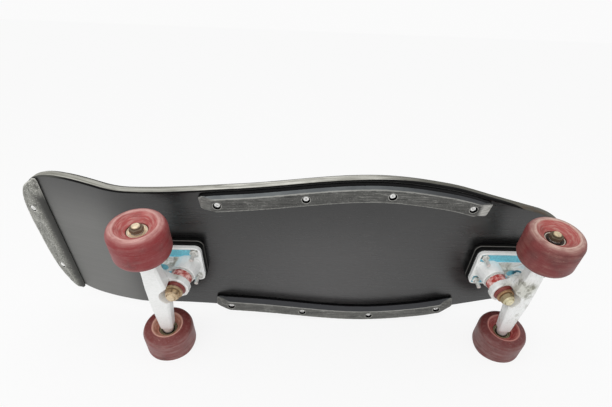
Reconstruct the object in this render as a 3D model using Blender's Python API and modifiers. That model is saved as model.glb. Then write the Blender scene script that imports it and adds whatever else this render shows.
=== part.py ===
"""Old-school wooden skateboard: a wide hip-shaped deck with a kicked tail, plastic rails and a tail
guard underneath, and two steering trucks with wide red wheels.

Units are metres. +X points to the nose, +Y to the rider's left and +Z up. The board stands on its
wheels, with the ground at Z = 0 and the origin under the middle of the whole board.
"""
import math

import bmesh
import bpy
from mathutils import Matrix, Vector

# Fits
GAP = 0.0003                    # between pieces that touch or seat
SHAFT_CLEARANCE = 0.0003        # round shafts, bolts and pins, on the radius

# Deck, measured on the flat blank from the end of the tail
WHEELBASE = 0.434               # axle to axle
TAIL_OVERHANG = 0.1807          # tail axle to the end of the tail, along the wood
NOSE_OVERHANG = 0.079           # nose axle to the tip of the nose
DECK_THICKNESS = 0.011          # seven plies
DECK_EDGE_RADIUS = 0.003
TAIL_END_WIDTH = 0.200          # width of the outline where the tail's rounded end starts
TAIL_WIDTH = 0.210
TAIL_WIDEST = 0.076             # from the end of the tail
WAIST_WIDTH = 0.198
WAIST = 0.155
FLANK_WIDTH = 0.215
FLANK = 0.277
HIP_WIDTH = 0.248               # the widest place
HIP = 0.433
SHOULDER_WIDTH = 0.2296
SHOULDER = 0.517
NECK_WIDTH = 0.196
NECK = 0.578
SNOUT_WIDTH = 0.1706
SNOUT = 0.622
NOSE_END_WIDTH = 0.131          # width that the outline would have at the tip, before rounding
TAIL_ROUND_LENGTH = 0.075       # how far the rounding of each end reaches
TAIL_ROUND_POWER = 3.3          # 2 is an ellipse, higher is squarer
NOSE_ROUND_LENGTH = 0.062
NOSE_ROUND_POWER = 2.2
KICK_START = 0.033              # behind the tail axle
KICK_RADIUS = 0.120
KICK_ANGLE = math.radians(15.5)
KICK_FACETS = 5
TAIL_ARC_POINTS = 9
NOSE_ARC_POINTS = 7
SIDE_POINTS = 14

# Grip tape on top
GRIP_THICKNESS = 0.0008
GRIP_INSET = 0.0015
GRIP_HOLE_RADIUS = 0.0058

# Rails under the edges
RAIL_LENGTH = 0.341
RAIL_SHIFT = 0.0015             # ahead of the middle between the axles
RAIL_WIDTH = 0.0225
RAIL_FACE_WIDTH = 0.018
RAIL_HEIGHT = 0.012
RAIL_SIDE_HEIGHT = 0.0040       # upright part of the side, up to the bevel
RAIL_INSET = 0.0140             # deck edge to the rail's centre line
RAIL_RAMP_LENGTH = 0.0175       # slope at each end, from the deck to the road face
RAIL_SCREW_PITCH = 0.099
RAIL_SCREWS = 4
RAIL_HEAD_RADIUS = 0.0046
RAIL_HEAD_DEPTH = 0.0045
RAIL_HOLE_RADIUS = 0.0024
RAIL_STATIONS = 10

# Tail guard
GUARD_LENGTH = 0.0365
GUARD_INSET = 0.0010
GUARD_THICKNESS = 0.0075         # at its crest
GUARD_INNER_THICKNESS = 0.0030
GUARD_EDGE_RADIUS = 0.0016
GUARD_WORN_LENGTH = 0.0215      # scuffed slope at the very end
GUARD_END_THICKNESS = 0.0036
GUARD_SCREW_FROM_END = 0.0160
GUARD_SCREW_SPACING = 0.102
GUARD_SCREW_LENGTH = 0.0135
GUARD_SCREW_RADIUS = 0.0019
GUARD_SCREW_HEAD_RADIUS = 0.0041
GUARD_SCREW_HEAD_HEIGHT = 0.0026

# Wheels and bearings
WHEEL_DIAMETER = 0.061
WHEEL_WIDTH = 0.043
TRACK = 0.170                   # wheel centre to wheel centre on one axle
WHEEL_EDGE_WIDTH = 0.0078       # how far the rounded edge reaches down the side face
WHEEL_EDGE_DEPTH = 0.0068       # how far it reaches across the tread
WHEEL_RIM_RADIUS = 0.0222       # the ring round the dish, on the outer side
WHEEL_INNER_RIM_RADIUS = 0.0180
WHEEL_DISH_RADIUS = 0.0132
WHEEL_DISH_DEPTH = 0.0071
WHEEL_LIP = 0.0008               # rounding of the bearing seat's mouth
WHEEL_RIM_BEVEL = 0.0017
WHEEL_HUB_RADIUS = 0.0087       # between the bearings
BEARING_RADIUS = 0.011
BEARING_WIDTH = 0.007
BEARING_RACE_RADIUS = 0.0096    # inner edge of the outer race, where the shield starts
BEARING_SHIELD_RADIUS = 0.0064
BEARING_SHIELD_RECESS = 0.0006
INNER_RACE_RADIUS = 0.0060
SPACER_LENGTH = 0.0103
SPACER_RADIUS = 0.0050
SPEED_WASHER_THICKNESS = 0.0008
WHEEL_STEPS = 24
EDGE_STEPS = 2

# Trucks: x runs from the axle towards the middle of the board
AXLE_RADIUS = 0.004
AXLE_TIP = 0.0011               # past the nut
AXLE_NUT_WIDTH = 0.0127         # across flats
AXLE_NUT_HEIGHT = 0.0058
AXLE_CHAMFER = 0.0008
NUT_COLLAR_HEIGHT = 0.0017       # round collar of a locking nut
NUT_COLLAR_INSET = 0.0005       # from the flats
TRUCK_HEIGHT = 0.0493           # axle centre to the top of the baseplate
RISER_THICKNESS = 0.0055        # each of two layers
RISER_MARGIN = 0.0014           # past the baseplate all round
BASE_FRONT = 0.045
BASE_BACK = 0.028
BASE_WIDTH = 0.0568
BASE_CORNER_RADIUS = 0.0075
BASE_THICKNESS = 0.0058
CHANNEL_DEPTH = 0.0023          # side channels that hold the nuts
CHANNEL_INNER = 0.0130
CHANNEL_OUTER = 0.0260
CHANNEL_END_MARGIN = 0.0035
BOLT_SPACING_X = 0.054
BOLT_SPACING_Y = 0.0413
BOLT_FRONT = 0.036              # axle to the front pair
BOLT_RADIUS = 0.0024
BOLT_HEAD_RADIUS = 0.0047
BOLT_HEAD_HEIGHT = 0.0027
SCREW_RIM = 0.0005               # upright edge of a countersunk head
BOLT_TIP_HEIGHT = 0.0310        # above the axle centre
BOLT_NUT_WIDTH = 0.0087
BOLT_NUT_HEIGHT = 0.0042

# Kingpin, its bushings and washers
RING_X = 0.021                  # centre of the hanger's ring, from the axle
RING_Z = 0.0105
KINGPIN_TILT = math.radians(10.0)
KINGPIN_RADIUS = 0.00475
KINGPIN_HEAD_RADIUS = 0.0082
KINGPIN_HEAD_HEIGHT = 0.0055
KINGPIN_TIP = 0.0025            # past the nut
KINGPIN_CHAMFER = 0.0010
KINGPIN_NUT_WIDTH = 0.0143
KINGPIN_NUT_HEIGHT = 0.0074
RING_THICKNESS = 0.008
RING_RADIUS = 0.0155
RING_BORE_RADIUS = 0.00625
RING_SEAT_DEPTH = 0.0010
TOP_BUSHING_HEIGHT = 0.0117
TOP_BUSHING_RADIUS = 0.0123
TOP_BUSHING_EDGE = 0.0004        # its ends are narrower by this
TOP_BUSHING_EDGE_HEIGHT = 0.0030
LOW_BUSHING_HEIGHT = 0.0058
LOW_BUSHING_RADIUS = 0.0116     # at the ring
LOW_BUSHING_STRAIGHT = 0.0020   # height of its straight part
LOW_BUSHING_TIP_RADIUS = 0.0093
WASHER_THICKNESS = 0.0014
WASHER_RIM_HEIGHT = 0.0026
WASHER_RIM_WIDTH = 0.0008
BOSS_RADIUS = 0.0146
BOSS_ROOT_RADIUS = 0.0160

# Pivot between the hanger and the baseplate
PIVOT_X = -0.015
PIVOT_Z = 0.0355
PIVOT_PIN_RADIUS = 0.0063
PIVOT_PIN_CHAMFER = 0.0028
PIVOT_CUP_WALL = 0.0020
PIVOT_CUP_DEPTH = 0.0130
PIVOT_CUP_FLOOR = 0.0018
PIVOT_BOSS_WALL = 0.0042

# Hanger
ARM_END_RADIUS = 0.0068
BEAM_SECTIONS = (               # distance from the middle, back, front, bottom, top
    (0.0140, 0.0095, 0.0140, 0.0085, 0.0100),
    (0.0300, 0.0088, 0.0120, 0.0082, 0.0092),
    (0.0640, 0.0074, 0.0084, 0.0073, 0.0076),
)
BEAM_CHAMFER = 0.30
WEB_HALF_WIDTH = 0.020          # plate between the beam and the ring
WEB_REACH = 0.017
GUSSET_BACK = 0.0075
GUSSET_FRONT = 0.0010
GUSSET_FOOT = 0.040
GUSSET_TOP = 0.0070
NECK_RADIUS = 0.0095
NECK_START = 0.018              # from the ring's centre along the steering axis
NECK_END = 0.0330
LOW_RELIEF_RADIUS = 0.0132      # hollow round the lower bushing
TOP_RELIEF_RADIUS = 0.0139
TOP_RELIEF_SPREAD = 0.25        # growth of that hollow for each unit of height

ROUND_STEPS = 12
FINE_STEPS = 14
SMALL_STEPS = 8
SMOOTH_ANGLE = math.radians(32.0)
MERGE = 0.00001

# Values that follow from the sizes above
WHEEL_RADIUS = WHEEL_DIAMETER / 2
DECK_FLAT_LENGTH = TAIL_OVERHANG + WHEELBASE + NOSE_OVERHANG
BASE_ROAD_FACE = TRUCK_HEIGHT - BASE_THICKNESS
RISER_LOW = TRUCK_HEIGHT + GAP
RISER_HIGH = RISER_LOW + RISER_THICKNESS + GAP
DECK_UNDERSIDE = RISER_HIGH + RISER_THICKNESS + GAP      # above the axle centre
BEARING_OUTER_FACE = SPACER_LENGTH / 2 + BEARING_WIDTH
SLEEVE_HALF_LENGTH = BEARING_OUTER_FACE + SPEED_WASHER_THICKNESS
ARM_LENGTH = TRACK / 2 - SLEEVE_HALF_LENGTH - GAP
AXLE_NUT_FACE = TRACK / 2 + SLEEVE_HALF_LENGTH + GAP
AXLE_HALF_LENGTH = AXLE_NUT_FACE + AXLE_NUT_HEIGHT + AXLE_TIP
STEERING_ANGLE = math.atan2(PIVOT_Z - RING_Z, RING_X - PIVOT_X)
PIVOT_REACH = math.hypot(RING_X - PIVOT_X, PIVOT_Z - RING_Z)
PIVOT_CUP_RADIUS = PIVOT_PIN_RADIUS + SHAFT_CLEARANCE + PIVOT_CUP_WALL
PIVOT_CUP_END = PIVOT_REACH + PIVOT_CUP_DEPTH / 2
PIVOT_CUP_MOUTH = PIVOT_REACH - PIVOT_CUP_DEPTH / 2
PIVOT_PIN_END = PIVOT_CUP_END - PIVOT_CUP_FLOOR - GAP


def tail_end_x():
    """World X of the tail's end, so that the bent board's box is centred on the origin."""
    tail_reach = TAIL_OVERHANG - KICK_START
    arc = KICK_RADIUS * KICK_ANGLE
    straight = tail_reach - arc
    kicked_length = KICK_RADIUS * math.sin(KICK_ANGLE) + straight * math.cos(KICK_ANGLE)
    bent_length = kicked_length + KICK_START + WHEELBASE + NOSE_OVERHANG
    return -bent_length / 2


TAIL_AXLE_X = -tail_end_x() - NOSE_OVERHANG - WHEELBASE
NOSE_AXLE_X = TAIL_AXLE_X + WHEELBASE
BLANK_END = TAIL_AXLE_X - TAIL_OVERHANG      # X of the tail's end before it is bent up
KICK_X = TAIL_AXLE_X - KICK_START
DECK_Z = WHEEL_RADIUS + DECK_UNDERSIDE
DECK_TOP_Z = DECK_Z + DECK_THICKNESS
RAIL_MIDDLE_X = (TAIL_AXLE_X + NOSE_AXLE_X) / 2 + RAIL_SHIFT


def clear_scene():
    for obj in list(bpy.data.objects):
        bpy.data.objects.remove(obj)


def new_collection(name):
    made = bpy.data.collections.new(name)
    bpy.context.scene.collection.children.link(made)
    return made


def new_material(name, colour, roughness, metallic=0.0):
    made = bpy.data.materials.new(name)
    made.use_nodes = True
    shader = made.node_tree.nodes["Principled BSDF"]
    shader.inputs["Base Color"].default_value = (*colour, 1.0)
    shader.inputs["Roughness"].default_value = roughness
    shader.inputs["Metallic"].default_value = metallic
    return made


clear_scene()
BOARD = new_collection("skateboard")
CUTTERS = new_collection("cutters")

PAINTED_WOOD = new_material("painted_wood", (0.075, 0.075, 0.073), 0.5)
GRIP = new_material("grip_tape", (0.02, 0.02, 0.02), 0.95)
PLASTIC = new_material("dark_plastic", (0.10, 0.10, 0.10), 0.55)
RUBBER = new_material("riser_rubber", (0.03, 0.03, 0.03), 0.8)
ALUMINIUM = new_material("cast_aluminium", (0.82, 0.83, 0.82), 0.35, 0.9)
STEEL = new_material("steel", (0.62, 0.60, 0.56), 0.35, 1.0)
ZINC = new_material("yellow_zinc", (0.55, 0.44, 0.24), 0.35, 1.0)
URETHANE = new_material("oxblood_urethane", (0.26, 0.045, 0.045), 0.55)
BUSHING = new_material("red_bushing", (0.42, 0.03, 0.025), 0.45)
CUP = new_material("pivot_cup", (0.05, 0.05, 0.05), 0.7)


def add_object(name, mesh, material=None, collection=None):
    made = bpy.data.objects.new(name, mesh)
    (collection or BOARD).objects.link(made)
    if material:
        mesh.materials.append(material)
    return made


def from_bmesh(name, bm, material=None, collection=None):
    mesh = bpy.data.meshes.new(name)
    bm.to_mesh(mesh)
    bm.free()
    return add_object(name, mesh, material, collection)


def settle(obj):
    """Keep what the modifiers make as the object's own mesh, smooth away from its edges."""
    bpy.context.view_layer.update()
    graph = bpy.context.evaluated_depsgraph_get()
    mesh = bpy.data.meshes.new_from_object(obj.evaluated_get(graph))
    obj.modifiers.clear()
    obj.data = mesh
    mesh.shade_smooth()
    mesh.set_sharp_from_angle(angle=SMOOTH_ANGLE)
    return obj


def combine(obj, others, operation):
    """Join or cut obj with the other objects, which are used up."""
    for other in others:
        other.hide_render = True
        other.display_type = "WIRE"
        modifier = obj.modifiers.new(other.name, "BOOLEAN")
        modifier.operation = operation
        modifier.solver = "EXACT"
        modifier.object = other
    settle(obj)
    for other in others:
        bpy.data.objects.remove(other)
    return obj


def join(obj, *others):
    return combine(obj, others, "UNION")


def cut(obj, *others):
    return combine(obj, others, "DIFFERENCE")


def turned(name, profile, steps, material=None, collection=None, matrix=None):
    """Turn a profile of (radius, z) points about Z. It runs down its outer side.

    A profile that starts on the axis stays open there, any other is closed into a ring.
    """
    closed = profile[0][0] > 0
    bm = bmesh.new()
    points = [bm.verts.new((radius, 0.0, z)) for radius, z in profile]
    for first, second in zip(points, points[1:]):
        bm.edges.new((first, second))
    if closed:
        bm.edges.new((points[-1], points[0]))
    made = from_bmesh(name, bm, material, collection)
    screw = made.modifiers.new("Screw", "SCREW")
    screw.axis = "Z"
    screw.steps = steps
    screw.render_steps = steps
    screw.use_merge_vertices = True
    screw.merge_threshold = MERGE
    settle(made)
    if matrix:
        made.data.transform(matrix)
    return made


def rod(name, radius, low, high, steps, matrix=None):
    """A plain cylinder along Z that only cuts or joins."""
    profile = [(0.0, high), (radius, high), (radius, low), (0.0, low)]
    return turned(name, profile, steps, collection=CUTTERS, matrix=matrix)


def block(name, low, high, material=None, collection=None):
    """A box between two corners."""
    bm = bmesh.new()
    bmesh.ops.create_cube(bm, size=1.0)
    low = Vector(low)
    high = Vector(high)
    size = high - low
    bmesh.ops.scale(bm, vec=size, verts=bm.verts)
    bmesh.ops.translate(bm, vec=(low + high) / 2, verts=bm.verts)
    return from_bmesh(name, bm, material, collection)


def round_corners(obj, radius, segments):
    """Round the upright corners of a box."""
    bm = bmesh.new()
    bm.from_mesh(obj.data)
    upright = []
    for edge in bm.edges:
        first, second = edge.verts
        if abs(first.co.z - second.co.z) > MERGE:
            upright.append(edge)
    bmesh.ops.bevel(bm, geom=upright, offset=radius, segments=segments, profile=0.5, affect="EDGES")
    bm.to_mesh(obj.data)
    bm.free()
    return obj


def outline_plate(name, points, low, high, material=None, collection=None):
    """A flat plate from an outline, between two heights."""
    curve = bpy.data.curves.new(name + "_outline", "CURVE")
    curve.dimensions = "2D"
    curve.fill_mode = "BOTH"
    curve.extrude = (high - low) / 2
    spline = curve.splines.new("POLY")
    spline.points.add(len(points) - 1)
    for place, (x, y) in zip(spline.points, points):
        place.co = (x, y, 0.0, 1.0)
    spline.use_cyclic_u = True
    drawn = bpy.data.objects.new(name + "_outline", curve)
    CUTTERS.objects.link(drawn)
    bpy.context.view_layer.update()
    graph = bpy.context.evaluated_depsgraph_get()
    mesh = bpy.data.meshes.new_from_object(drawn.evaluated_get(graph))
    bpy.data.objects.remove(drawn)
    bm = bmesh.new()
    bm.from_mesh(mesh)
    bmesh.ops.remove_doubles(bm, verts=bm.verts, dist=MERGE)
    bmesh.ops.dissolve_limit(bm, angle_limit=math.radians(0.5), verts=bm.verts, edges=bm.edges)
    bmesh.ops.recalc_face_normals(bm, faces=bm.faces)
    bmesh.ops.translate(bm, vec=(0.0, 0.0, (low + high) / 2), verts=bm.verts)
    bm.to_mesh(mesh)
    bm.free()
    return add_object(name, mesh, material, collection)


def loft(name, sections, material=None, collection=None):
    """Join rings of points with faces and close both ends."""
    bm = bmesh.new()
    rings = [[bm.verts.new(point) for point in section] for section in sections]
    for ring, after in zip(rings, rings[1:]):
        for index in range(len(ring)):
            following = (index + 1) % len(ring)
            bm.faces.new((ring[index], ring[following], after[following], after[index]))
    bm.faces.new(list(reversed(rings[0])))
    bm.faces.new(rings[-1])
    bmesh.ops.recalc_face_normals(bm, faces=bm.faces)
    return from_bmesh(name, bm, material, collection)


def hexagon(name, across_flats, low, high, material=None, collection=None):
    bm = bmesh.new()
    radius = across_flats / math.sqrt(3)
    bmesh.ops.create_cone(bm, cap_ends=True, segments=6, radius1=radius, radius2=radius, depth=high - low)
    bmesh.ops.translate(bm, vec=(0.0, 0.0, (low + high) / 2), verts=bm.verts)
    return from_bmesh(name, bm, material, collection)


def lock_nut(name, across_flats, height, bore_radius, material):
    """A hexagon nut with the round collar of a locking nut at its upper end, seated at z = 0."""
    collar_radius = across_flats / 2 - NUT_COLLAR_INSET
    hex_height = height - NUT_COLLAR_HEIGHT
    nut = hexagon(name, across_flats, 0.0, hex_height, material)
    join(nut, rod("collar", collar_radius, hex_height / 2, height, ROUND_STEPS))
    cut(nut, rod("bore", bore_radius, -height, 2 * height, ROUND_STEPS))
    return nut


def new_empty(name, parent=None, matrix=None):
    made = bpy.data.objects.new(name, None)
    made.empty_display_size = 0.02
    BOARD.objects.link(made)
    made.parent = parent
    made.matrix_local = matrix or Matrix.Identity(4)
    return made


def copy_of(obj, name):
    made = bpy.data.objects.new(name, obj.data)
    BOARD.objects.link(made)
    return made


def place(obj, parent, matrix=None):
    """Hang an object on an empty, at a place given in that empty's frame."""
    obj.parent = parent
    obj.matrix_local = matrix or Matrix.Identity(4)
    return obj


# Deck outline

def outline_stations():
    """Half widths along the blank, from the end of the tail."""
    return (
        (0.0, TAIL_END_WIDTH / 2),
        (TAIL_WIDEST, TAIL_WIDTH / 2),
        (WAIST, WAIST_WIDTH / 2),
        (FLANK, FLANK_WIDTH / 2),
        (HIP, HIP_WIDTH / 2),
        (SHOULDER, SHOULDER_WIDTH / 2),
        (NECK, NECK_WIDTH / 2),
        (SNOUT, SNOUT_WIDTH / 2),
        (DECK_FLAT_LENGTH, NOSE_END_WIDTH / 2),
    )


def station_slopes(stations):
    """Slopes for a smooth curve through the stations, level where the width turns."""
    slopes = []
    for index, (place_x, width) in enumerate(stations):
        before = stations[max(index - 1, 0)]
        after = stations[min(index + 1, len(stations) - 1)]
        turning = (width - before[1]) * (after[1] - width) < 0
        slopes.append(0.0 if turning else (after[1] - before[1]) / (after[0] - before[0]))
    return slopes


STATIONS = outline_stations()
SLOPES = station_slopes(STATIONS)


def side_half_width(distance):
    """Half width at a distance from the tail's end, before the ends are rounded."""
    index = 0
    while index < len(STATIONS) - 2 and distance > STATIONS[index + 1][0]:
        index += 1
    (start, low), (end, high) = STATIONS[index], STATIONS[index + 1]
    span = end - start
    t = (distance - start) / span
    return (
        low * (2 * t ** 3 - 3 * t ** 2 + 1)
        + SLOPES[index] * span * (t ** 3 - 2 * t ** 2 + t)
        + high * (3 * t ** 2 - 2 * t ** 3)
        + SLOPES[index + 1] * span * (t ** 3 - t ** 2)
    )


def round_end(length, power, points):
    """Distances from an end and shares of the width there, along its rounding."""
    steps = []
    for index in range(points):
        angle = math.pi / 2 * index / points
        distance = length * (1 - math.cos(angle) ** (2 / power))
        steps.append((distance, math.sin(angle) ** (2 / power)))
    return steps


def half_outline():
    """Points (X, half width) from the tail's end to the nose's, on the flat blank."""
    points = []
    for distance, share in round_end(TAIL_ROUND_LENGTH, TAIL_ROUND_POWER, TAIL_ARC_POINTS):
        points.append((BLANK_END + distance, side_half_width(distance) * share))
    first = TAIL_ROUND_LENGTH
    last = DECK_FLAT_LENGTH - NOSE_ROUND_LENGTH
    for index in range(SIDE_POINTS):
        distance = first + (last - first) * index / (SIDE_POINTS - 1)
        points.append((BLANK_END + distance, side_half_width(distance)))
    for distance, share in reversed(round_end(NOSE_ROUND_LENGTH, NOSE_ROUND_POWER, NOSE_ARC_POINTS)):
        along = DECK_FLAT_LENGTH - distance
        points.append((BLANK_END + along, side_half_width(along) * share))
    return points


def inset(points, distance):
    """Move an open outline inwards, square to itself. Its two ends are on the middle line."""
    moved = []
    for index, point in enumerate(points):
        before = points[index - 1] if index else (point[0], -points[1][1])
        after = points[index + 1] if index < len(points) - 1 else (point[0], -points[-2][1])
        along = Vector((after[0] - before[0], after[1] - before[1])).normalized()
        moved.append((point[0] + along.y * distance, max(point[1] - along.x * distance, 0.0)))
    return moved


def both_sides(half):
    """Close a half outline into a whole one. Its end points lie on the middle line."""
    return [*half, *[(x, -y) for x, y in reversed(half[1:-1])]]


# The tail's kick

def kick_stations():
    """Blank X, bent X, bent Z and slope along the kick, from its start to the tail's end."""
    stations = [(KICK_X, KICK_X, 0.0, 0.0)]
    for index in range(1, KICK_FACETS + 1):
        angle = KICK_ANGLE * index / KICK_FACETS
        bent_x = KICK_X - KICK_RADIUS * math.sin(angle)
        bent_z = KICK_RADIUS * (1 - math.cos(angle))
        stations.append((KICK_X - KICK_RADIUS * angle, bent_x, bent_z, angle))
    blank_x, bent_x, bent_z, angle = stations[-1]
    left = blank_x - BLANK_END
    stations.append((BLANK_END, bent_x - left * math.cos(angle), bent_z + left * math.sin(angle), angle))
    return stations


KICK = kick_stations()


def bend(x, height):
    """Carry a point of the flat blank, height above the underside, onto the kicked tail."""
    if x >= KICK_X:
        return Vector((x, 0.0, height))
    index = 0
    while index < len(KICK) - 2 and x < KICK[index + 1][0]:
        index += 1
    start, end = KICK[index], KICK[index + 1]
    t = (x - start[0]) / (end[0] - start[0])
    sine = math.sin(start[3]) * (1 - t) + math.sin(end[3]) * t
    cosine = math.cos(start[3]) * (1 - t) + math.cos(end[3]) * t
    bent_x = start[1] * (1 - t) + end[1] * t
    bent_z = start[2] * (1 - t) + end[2] * t
    return Vector((bent_x + height * sine, 0.0, bent_z + height * cosine))


def bend_object(obj):
    """Split a flat piece along the kick's facets and bend it up."""
    bm = bmesh.new()
    bm.from_mesh(obj.data)
    for station in KICK[:-1]:
        geometry = [*bm.verts, *bm.edges, *bm.faces]
        bmesh.ops.bisect_plane(
            bm, geom=geometry, dist=MERGE, plane_co=(station[0], 0.0, 0.0), plane_no=(1.0, 0.0, 0.0)
        )
    for vert in bm.verts:
        bent = bend(vert.co.x, vert.co.z)
        vert.co.x = bent.x
        vert.co.z = bent.z + DECK_Z
    bm.to_mesh(obj.data)
    bm.free()
    return obj


def tail_frame(distance_from_end, y, height):
    """A frame on the straight part of the tail, with Z square to the wood."""
    spot = bend(BLANK_END + distance_from_end, height)
    turn = Matrix.Rotation(KICK_ANGLE, 4, "Y")
    return Matrix.Translation((spot.x, y, spot.z + DECK_Z)) @ turn


# Truck frames, from the axle centre

def kingpin_frame():
    return Matrix.Translation((RING_X, 0.0, RING_Z)) @ Matrix.Rotation(KINGPIN_TILT, 4, "Y")


def steering_frame():
    turn = Matrix.Rotation(STEERING_ANGLE - math.pi / 2, 4, "Y")
    return Matrix.Translation((RING_X, 0.0, RING_Z)) @ turn


def along_axle(distance=0.0):
    """Z turned onto +Y, at a distance from the middle."""
    return Matrix.Translation((0.0, distance, 0.0)) @ Matrix.Rotation(-math.pi / 2, 4, "X")


# Places along the kingpin, from the ring's centre, up towards the board
RING_FACE = RING_THICKNESS / 2
SEAT = RING_FACE - RING_SEAT_DEPTH + GAP
TOP_WASHER = SEAT + TOP_BUSHING_HEIGHT + GAP
BOSS_FACE = TOP_WASHER + WASHER_THICKNESS + GAP
LOW_WASHER = -(SEAT + LOW_BUSHING_HEIGHT + GAP)
KINGPIN_NUT_FACE = LOW_WASHER - WASHER_THICKNESS - GAP
KINGPIN_END = KINGPIN_NUT_FACE - KINGPIN_NUT_HEIGHT - KINGPIN_TIP
KINGPIN_TOP = (
    (TRUCK_HEIGHT - GAP - RING_Z - KINGPIN_HEAD_RADIUS * math.sin(KINGPIN_TILT)) / math.cos(KINGPIN_TILT)
)


def bolt_places():
    for x in (BOLT_FRONT, BOLT_FRONT - BOLT_SPACING_X):
        for y in (-BOLT_SPACING_Y / 2, BOLT_SPACING_Y / 2):
            yield x, y


def bolt_profile(length, radius, head_radius, head_height, grow=0.0, rise=0.0):
    """A countersunk screw that points down from z = 0, or the hole that takes it."""
    return [
        (0.0, rise),
        (head_radius + grow, rise),
        (head_radius + grow, -SCREW_RIM - grow),
        (radius + grow, -head_height - grow),
        (radius + grow, -length - grow),
        (0.0, -length - grow),
    ]


# Deck pieces

def make_deck():
    outline = both_sides(half_outline())
    deck = outline_plate("deck", outline, 0.0, DECK_THICKNESS, PAINTED_WOOD)
    bevel = deck.modifiers.new("Bevel", "BEVEL")
    bevel.width = DECK_EDGE_RADIUS
    bevel.segments = 2
    bevel.limit_method = "ANGLE"
    bevel.angle_limit = math.radians(60.0)
    settle(deck)
    bend_object(deck)
    holes = []
    bolt_length = DECK_TOP_Z - WHEEL_RADIUS - BOLT_TIP_HEIGHT
    profile = bolt_profile(
        bolt_length, BOLT_RADIUS, BOLT_HEAD_RADIUS, BOLT_HEAD_HEIGHT, SHAFT_CLEARANCE, GRIP_THICKNESS
    )
    for axle_x, facing in ((TAIL_AXLE_X, 1), (NOSE_AXLE_X, -1)):
        for x, y in bolt_places():
            spot = Matrix.Translation((axle_x + facing * x, y, DECK_TOP_Z))
            holes.append(turned("bolt_hole", profile, SMALL_STEPS, collection=CUTTERS, matrix=spot))
    depth = GUARD_SCREW_LENGTH + GAP
    for side in (-1, 1):
        spot = guard_screw_frame(side)
        holes.append(rod("screw_hole", GUARD_SCREW_RADIUS + SHAFT_CLEARANCE, 0.0, depth, SMALL_STEPS, spot))
    return cut(deck, *holes)


def make_grip():
    outline = both_sides(inset(half_outline(), GRIP_INSET))
    low = DECK_THICKNESS + GAP
    grip = outline_plate("grip_tape", outline, low, low + GRIP_THICKNESS, GRIP)
    bend_object(grip)
    holes = []
    for axle_x, facing in ((TAIL_AXLE_X, 1), (NOSE_AXLE_X, -1)):
        for x, y in bolt_places():
            spot = Matrix.Translation((axle_x + facing * x, y, DECK_TOP_Z))
            reach = 3 * GRIP_THICKNESS
            holes.append(rod("grip_hole", GRIP_HOLE_RADIUS, -reach, reach, SMALL_STEPS, spot))
    return cut(grip, *holes)


def rail_place(x):
    """Centre line of the left rail and the direction square to it, inwards."""
    step = RAIL_WIDTH / 4
    before = side_half_width(x - step - BLANK_END)
    after = side_half_width(x + step - BLANK_END)
    along = Vector((2 * step, after - before)).normalized()
    inward = Vector((along.y, -along.x))
    edge = Vector((x, side_half_width(x - BLANK_END)))
    return edge + inward * RAIL_INSET, inward


def rail_section():
    """Points across the rail: offset inwards and depth under the deck."""
    half = RAIL_WIDTH / 2
    face = RAIL_FACE_WIDTH / 2
    return (
        (-half, 0.0), (half, 0.0), (half, RAIL_SIDE_HEIGHT),
        (face, RAIL_HEIGHT), (-face, RAIL_HEIGHT), (-half, RAIL_SIDE_HEIGHT),
    )


def make_rail(name, side):
    """A bar that follows the deck's edge, with ramped ends and counterbored holes."""
    start = RAIL_MIDDLE_X - RAIL_LENGTH / 2
    end = RAIL_MIDDLE_X + RAIL_LENGTH / 2
    sections = []
    for index in range(RAIL_STATIONS):
        share = index / (RAIL_STATIONS - 1)
        section = []
        for across, depth in rail_section():
            back = RAIL_RAMP_LENGTH * depth / RAIL_HEIGHT
            x = (start + back) * (1 - share) + (end - back) * share
            spot, inward = rail_place(x)
            spot = spot + inward * across
            section.append((spot.x, spot.y * side, DECK_Z - GAP - depth))
        sections.append(section)
    rail = loft(name, sections, PLASTIC)
    face_z = DECK_Z - GAP - RAIL_HEIGHT
    holes = []
    for index in range(RAIL_SCREWS):
        x = RAIL_MIDDLE_X + RAIL_SCREW_PITCH * (index - (RAIL_SCREWS - 1) / 2)
        spot = rail_place(x)[0]
        frame = Matrix.Translation((spot.x, spot.y * side, face_z))
        reach = RAIL_HEIGHT * 1.5
        profile = [
            (0.0, reach), (RAIL_HOLE_RADIUS, reach), (RAIL_HOLE_RADIUS, RAIL_HEAD_DEPTH),
            (RAIL_HEAD_RADIUS, RAIL_HEAD_DEPTH), (RAIL_HEAD_RADIUS, -reach), (0.0, -reach),
        ]
        holes.append(turned("counterbore", profile, ROUND_STEPS, collection=CUTTERS, matrix=frame))
    return cut(rail, *holes)


def guard_depth(distance):
    """Thickness of the tail guard at a distance from the tail's end."""
    if distance > GUARD_WORN_LENGTH:
        share = (GUARD_LENGTH - distance) / (GUARD_LENGTH - GUARD_WORN_LENGTH)
        return GUARD_INNER_THICKNESS + (GUARD_THICKNESS - GUARD_INNER_THICKNESS) * share
    share = max((distance - GUARD_INSET) / (GUARD_WORN_LENGTH - GUARD_INSET), 0.0)
    return GUARD_END_THICKNESS + (GUARD_THICKNESS - GUARD_END_THICKNESS) * share


def guard_screw_frame(side):
    """Head of a guard screw, with Z into the wood."""
    surface = -GAP - guard_depth(GUARD_SCREW_FROM_END)
    return tail_frame(GUARD_SCREW_FROM_END, side * GUARD_SCREW_SPACING / 2, surface)


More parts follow.
